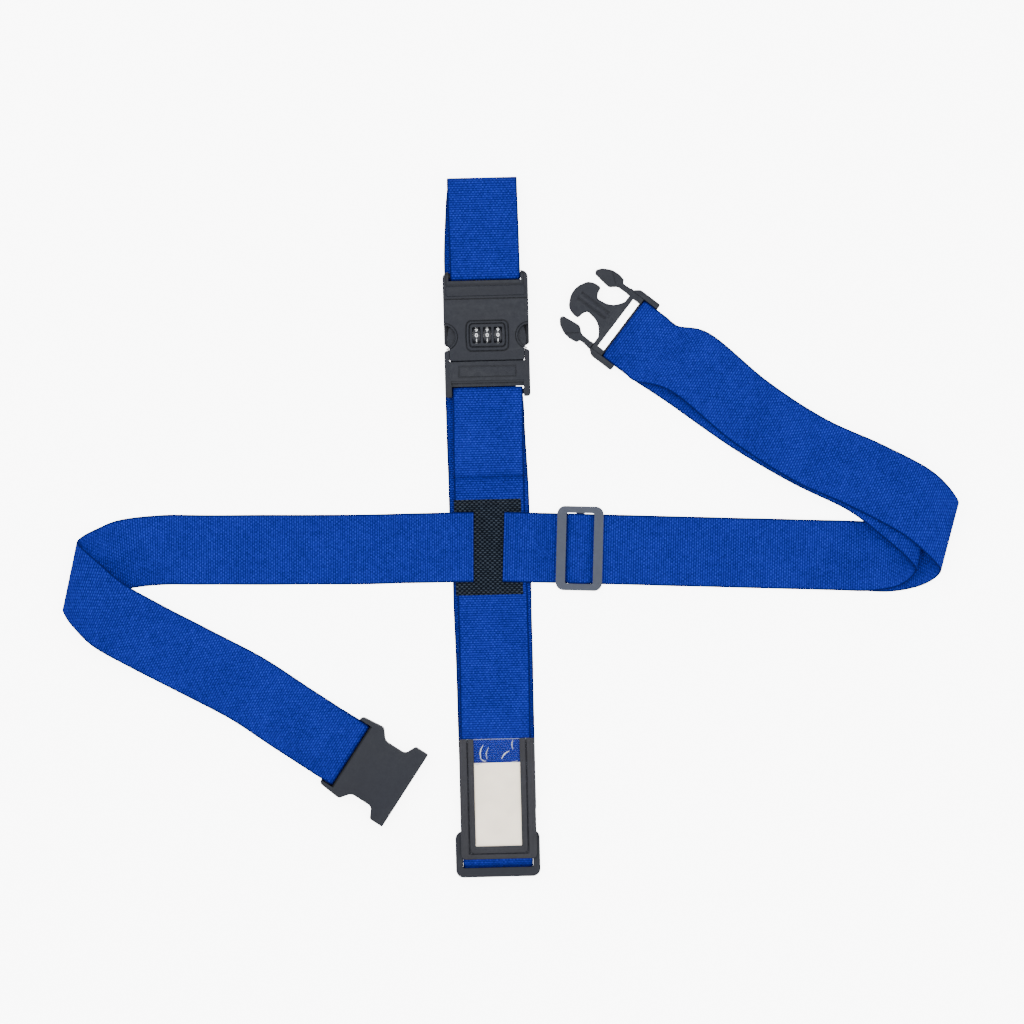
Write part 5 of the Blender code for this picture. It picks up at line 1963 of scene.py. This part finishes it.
@dataclass
class CardPocket:
    """The card pocket: a vinyl edge sewn round three sides, a clear window open at the top, and a card."""

    wardrobe: Wardrobe
    v: Span = (-221.9, -136.4)
    half_u: float = 27.0
    band: float = 10.6
    split: float = 5.6
    aside: float = 0.9

    def build(self) -> None:
        """Build the bands, the film, the card and the stitches."""
        low, high = self.v
        outer = self.band_blank(self.half_u, self.half_u - self.split, low, low + 3.4, high, (9.75, 10.6))
        piece = outer.ease(0.3, 3).piece("pocket_edge_binding", self.place)
        self.wardrobe.hang(piece, Finishes.VINYL, "root", ["pocket_binding"])
        near = self.half_u - self.split - 0.9
        inner = self.band_blank(near, self.half_u - self.band, low + 4.0, low + 9.2, high, (9.75, 10.35))
        piece = inner.ease(0.25, 3).piece("pocket_inner_binding", self.place)
        self.wardrobe.hang(piece, Finishes.VINYL, "root")
        base = self.band_blank(self.half_u, 18.6, low, low + 5.5, high, (8.45, 8.9))
        piece = base.ease(0.12, 2).piece("pocket_back_band", self.place)
        self.wardrobe.hang(piece, Finishes.VINYL, "root", ["pocket_base_band"])
        channel = self.half_u - self.split - 0.45
        sew = low + 3.7
        lines = [(Vector((-channel, high - 2, 9.95)), Vector((-channel, sew, 9.95)))]
        lines += [(Vector((-channel, sew, 9.95)), Vector((channel, sew, 9.95)))]
        lines += [(Vector((channel, sew, 9.95)), Vector((channel, high - 2, 9.95)))]
        piece = Stitching(2.4, 3.2, 0.5).rows("pocket_stitches", lines, self.place)
        self.wardrobe.hang(piece, Finishes.BLACK_THREAD, "root")
        self.build_film()
        self.build_card()

    @property
    def place(self) -> Matrix:
        """The pocket's frame, a little to the side of the strap's."""
        return LINE @ Matrix.Translation((self.aside, 0.0, 0.0))

    def band_blank(
        self, outside: float, inside: float, low: float, shelf: float, high: float, z: Span
    ) -> Blank:
        """A flat U of vinyl.

        Args:
            outside: half its outer width.
            inside: half its inner width.
            low: its lower edge.
            shelf: where its opening starts.
            high: its open top.
            z: its lower and upper faces.

        Returns:
            The band.
        """
        corners = [(-outside, high, 0.4), (-outside, low, 3.4), (outside, low, 3.4), (outside, high, 0.4)]
        corners += [
            (inside, high, 0.4), (inside, shelf, 0.6), (-inside, shelf, 0.6), (-inside, high, 0.4)
        ]
        return Blank.plate(corners, z, 6)

    def crease_lines(self) -> list[tuple[Vector, Vector, float]]:
        """The film's sharp wrinkles near its open end: start, end and strength."""
        top = self.v[1]
        return [
            (Vector((-9.6, top - 4.5)), Vector((-11.4, top - 14.0)), 1.0),
            (Vector((-11.4, top - 14.0)), Vector((-7.4, top - 16.0)), 0.8),
            (Vector((-5.8, top - 6.5)), Vector((-7.0, top - 14.5)), 0.6),
            (Vector((9.0, top - 9.0)), Vector((3.4, top - 14.5)), 1.0),
            (Vector((11.6, top - 1.2)), Vector((11.8, top - 8.0)), 0.7),
            (Vector((-16.0, top - 17.6)), Vector((-11.0, top - 17.0)), 0.7),
            (Vector((10.0, top - 16.4)), Vector((14.6, top - 16.0)), 0.5),
        ]

    def build_film(self) -> None:
        """The clear film, rippled, with its creases and its open edge marked for the painted highlights in
        its finish.
        """
        low, high = self.v
        bm = bmesh.new()
        bmesh.ops.create_grid(bm, x_segments=110, y_segments=170, size=0.5)
        mark = bm.verts.layers.float.new("crease_highlight")
        lines = self.crease_lines()
        for vert in bm.verts:
            u, v = vert.co.x * 49.0, low + 2.0 + (vert.co.y + 0.5) * (high - low - 2.0)
            free = max(0.0, 1.0 - (abs(u) / 17.0) ** 6)
            loose = min(1.0, max(0.0, (v - high + 30.0) / 30.0))
            rise = 0.30 * noise.noise(
                Vector((u * 0.09, v * 0.07, 2.0))
            ) + 0.16 * noise.noise(Vector((u * 0.3, v * 0.22, 5.0)))
            sharp = max(self.near_line(Vector((u, v)), *line) for line in lines)
            # The mark is a painted highlight along the creases and along the open top edge.
            vert[mark] = sharp + 0.35 * max(0.0, 1.0 - (high - v) / 0.7)
            vert.co = (u, v, 9.28 + free * (rise * (0.55 + loose) + 0.45 * sharp + 0.12))
        piece = Blank(bm).piece("pocket_film", self.place, 80.0)
        thick = piece.modifiers.new("film", "SOLIDIFY")
        thick.thickness = 0.16 * MM
        thick.offset = 0.0
        self.wardrobe.hang(piece, Finishes.FILM, "root", ["pocket_window"])

    @staticmethod
    def near_line(point: Vector, start: Vector, end: Vector, strength: float) -> float:
        """How strongly a crease marks a point: its strength on the line, fading over half a millimetre."""
        along = end - start
        t = min(1.0, max(0.0, (point - start).dot(along) / along.length_squared))
        bow = start + along * t + Vector((along.y, -along.x)) * 0.12 * math.sin(math.pi * t)
        reach = 0.55 * (1.0 - 0.5 * abs(2 * t - 1))
        return strength * max(0.0, 1.0 - (point - bow).length / reach)

    def build_card(self) -> None:
        """The plain card, a little bowed."""
        bm = bmesh.new()
        bmesh.ops.create_grid(bm, x_segments=24, y_segments=40, size=0.5)
        for vert in bm.verts:
            u, v = vert.co.x * 36.0, -216.0 + (vert.co.y + 0.5) * 62.5
            lift = 0.05 * noise.noise(Vector((u * 0.08, v * 0.06, 8.0)))
            vert.co = (u, v, 8.86 + lift)
        bmesh.ops.solidify(bm, geom=bm.faces[:], thickness=0.28)
        bmesh.ops.recalc_face_normals(bm, faces=bm.faces)
        piece = Blank(bm).piece("plain_card", self.place, 40.0)
        self.wardrobe.hang(piece, Finishes.CARD, "id_card", ["id_card"])


# ---------------------------------------------------------------- sewing at the hardware


@dataclass
class HardwareSewing:
    """The seams that hold webbing round the lock's bars and the socket half's bar."""

    wardrobe: Wardrobe

    def build(self) -> None:
        """Sew the seam below the plug, the one above the lock, and the one behind the socket."""
        lines = [(Vector((-23.0, 99.6, 12.06)), Vector((23.0, 99.6, 12.06)))]
        self.wardrobe.hang(
            Stitching(2.0, 2.6, 0.36).rows("plug_seam", lines, LINE), Finishes.BLUE_THREAD, "plug"
        )
        lines = [(Vector((-23.0, v, 12.02)), Vector((23.0, v, 12.02))) for v in (211.5, 218.5)]
        self.wardrobe.hang(
            Stitching(2.0, 2.6, 0.3).rows("lock_seam", lines, LINE), Finishes.BLUE_THREAD, "root"
        )
        height = joint_place("female_buckle_swivel").z + 2.95 + 0.67
        lines = [
            (Vector((FEMALE_BAR_Q - back, -23.0, height)), Vector((FEMALE_BAR_Q - back, 23.0, height)))
            for back in (14.6,)
        ]
        self.wardrobe.hang(
            Stitching(2.0, 2.6, 0.3).rows("socket_seam", lines, FEMALE), Finishes.BLUE_THREAD, "root"
        )


# ---------------------------------------------------------------- studio


@dataclass
class Studio:
    """A pale floor, soft light from above and a camera that looks straight down.

    Attributes:
        aim: the point under the camera, in millimetres.
        view_width: the width of floor that the camera takes in.
        distance: how high the camera is.
        floor_glow: how much brighter the floor is to the camera than its light makes it.
    """

    aim: tuple[float, float] = (15.35, 24.99)
    view_width: float = 731.1
    distance: float = 3000.0
    floor_glow: float = 7.0

    def build(self) -> None:
        """Set up the floor, the lights, the sky and the camera."""
        self.build_floor()
        self.build_light("key_softbox", (-0.6, 0.75, 1.5), 1.6, 25.0)
        self.build_light("fill_softbox", (0.9, -0.6, 1.4), 1.8, 19.0)
        self.build_light("top_softbox", (0.0, -0.1, 1.9), 2.2, 27.0)
        world = bpy.data.worlds.new("soft_sky")
        world.use_nodes = True
        sky = world.node_tree.nodes["Background"]
        sky.inputs["Color"].default_value = (0.98, 0.99, 1.0, 1.0)
        sky.inputs["Strength"].default_value = 1.15
        bpy.context.scene.world = world
        self.build_camera()

    def build_floor(self) -> None:
        """A wide, nearly white floor."""
        bm = bmesh.new()
        bmesh.ops.create_grid(bm, x_segments=4, y_segments=4, size=6.0)
        bmesh.ops.translate(bm, vec=(0.0, 0.0, -0.0004), verts=bm.verts)
        mesh = bpy.data.meshes.new("floor")
        bm.to_mesh(mesh)
        bm.free()
        floor = bpy.data.objects.new("floor", mesh)
        bpy.context.scene.collection.objects.link(floor)
        paint = bpy.data.materials.new("pale_floor")
        paint.use_nodes = True
        shader = paint.node_tree.nodes["Principled BSDF"]
        shader.inputs["Base Color"].default_value = (0.93, 0.93, 0.93, 1.0)
        shader.inputs["Roughness"].default_value = 0.9
        shader.inputs["Specular IOR Level"].default_value = 0.1
        shader.inputs["Emission Color"].default_value = (1.0, 1.0, 1.0, 1.0)
        graph = Graph(paint.node_tree)
        seen = graph.node("LightPath").outputs["Is Camera Ray"]
        graph.put(shader.inputs["Emission Strength"], graph.math("MULTIPLY", seen, self.floor_glow))
        mesh.materials.append(paint)

    def build_light(
        self, name: str, where: tuple[float, float, float], size: float, power: float
    ) -> None:
        """A square soft light aimed at the middle of the strap."""
        lamp = bpy.data.lights.new(name, "AREA")
        lamp.size = size
        lamp.energy = power
        made = bpy.data.objects.new(name, lamp)
        made.location = where
        made.rotation_euler = (-Vector(where)).to_track_quat("-Z", "Y").to_euler()
        bpy.context.scene.collection.objects.link(made)

    def build_camera(self) -> None:
        """A long-lens camera straight above, with the strap's top towards the frame's top."""
        lens = bpy.data.cameras.new("camera")
        lens.sensor_width = 36.0
        lens.lens = lens.sensor_width * self.distance / self.view_width
        lens.clip_end = 20.0
        made = bpy.data.objects.new("camera", lens)
        made.location = (self.aim[0] * MM, self.aim[1] * MM, self.distance * MM)
        bpy.context.scene.collection.objects.link(made)
        bpy.context.scene.camera = made


def main() -> None:
    """Build the whole strap and the studio."""
    logging.basicConfig(level=logging.INFO, format="%(name)s: %(message)s")
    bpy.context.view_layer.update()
    wardrobe = Wardrobe()
    StrapSet(wardrobe).build()
    Crossing(wardrobe).build()
    Lock(wardrobe).build()
    CardPocket(wardrobe).build()
    across = RIGHT @ Matrix.Translation(
        (RIGHT_SLIDE_X + 0.4, 0.25, 0)
    ) @ Matrix.Rotation(-math.pi / 2, 4, "Z")
    Slide(wardrobe, "arm_slide", "right_slide", across, rail=4.85, finish=Finishes.GREY).build()
    below = LINE @ Matrix.Translation((0, BOTTOM_SLIDE_V, 1.6))
    Slide(wardrobe, "loop_slide", "bottom_slide", below, rail=5.06).build()
    SocketHalf(wardrobe).build()
    TongueHalf(wardrobe).build()
    HardwareSewing(wardrobe).build()
    Studio().build()
    bpy.context.view_layer.update()


if __name__ == "__main__":
    main()
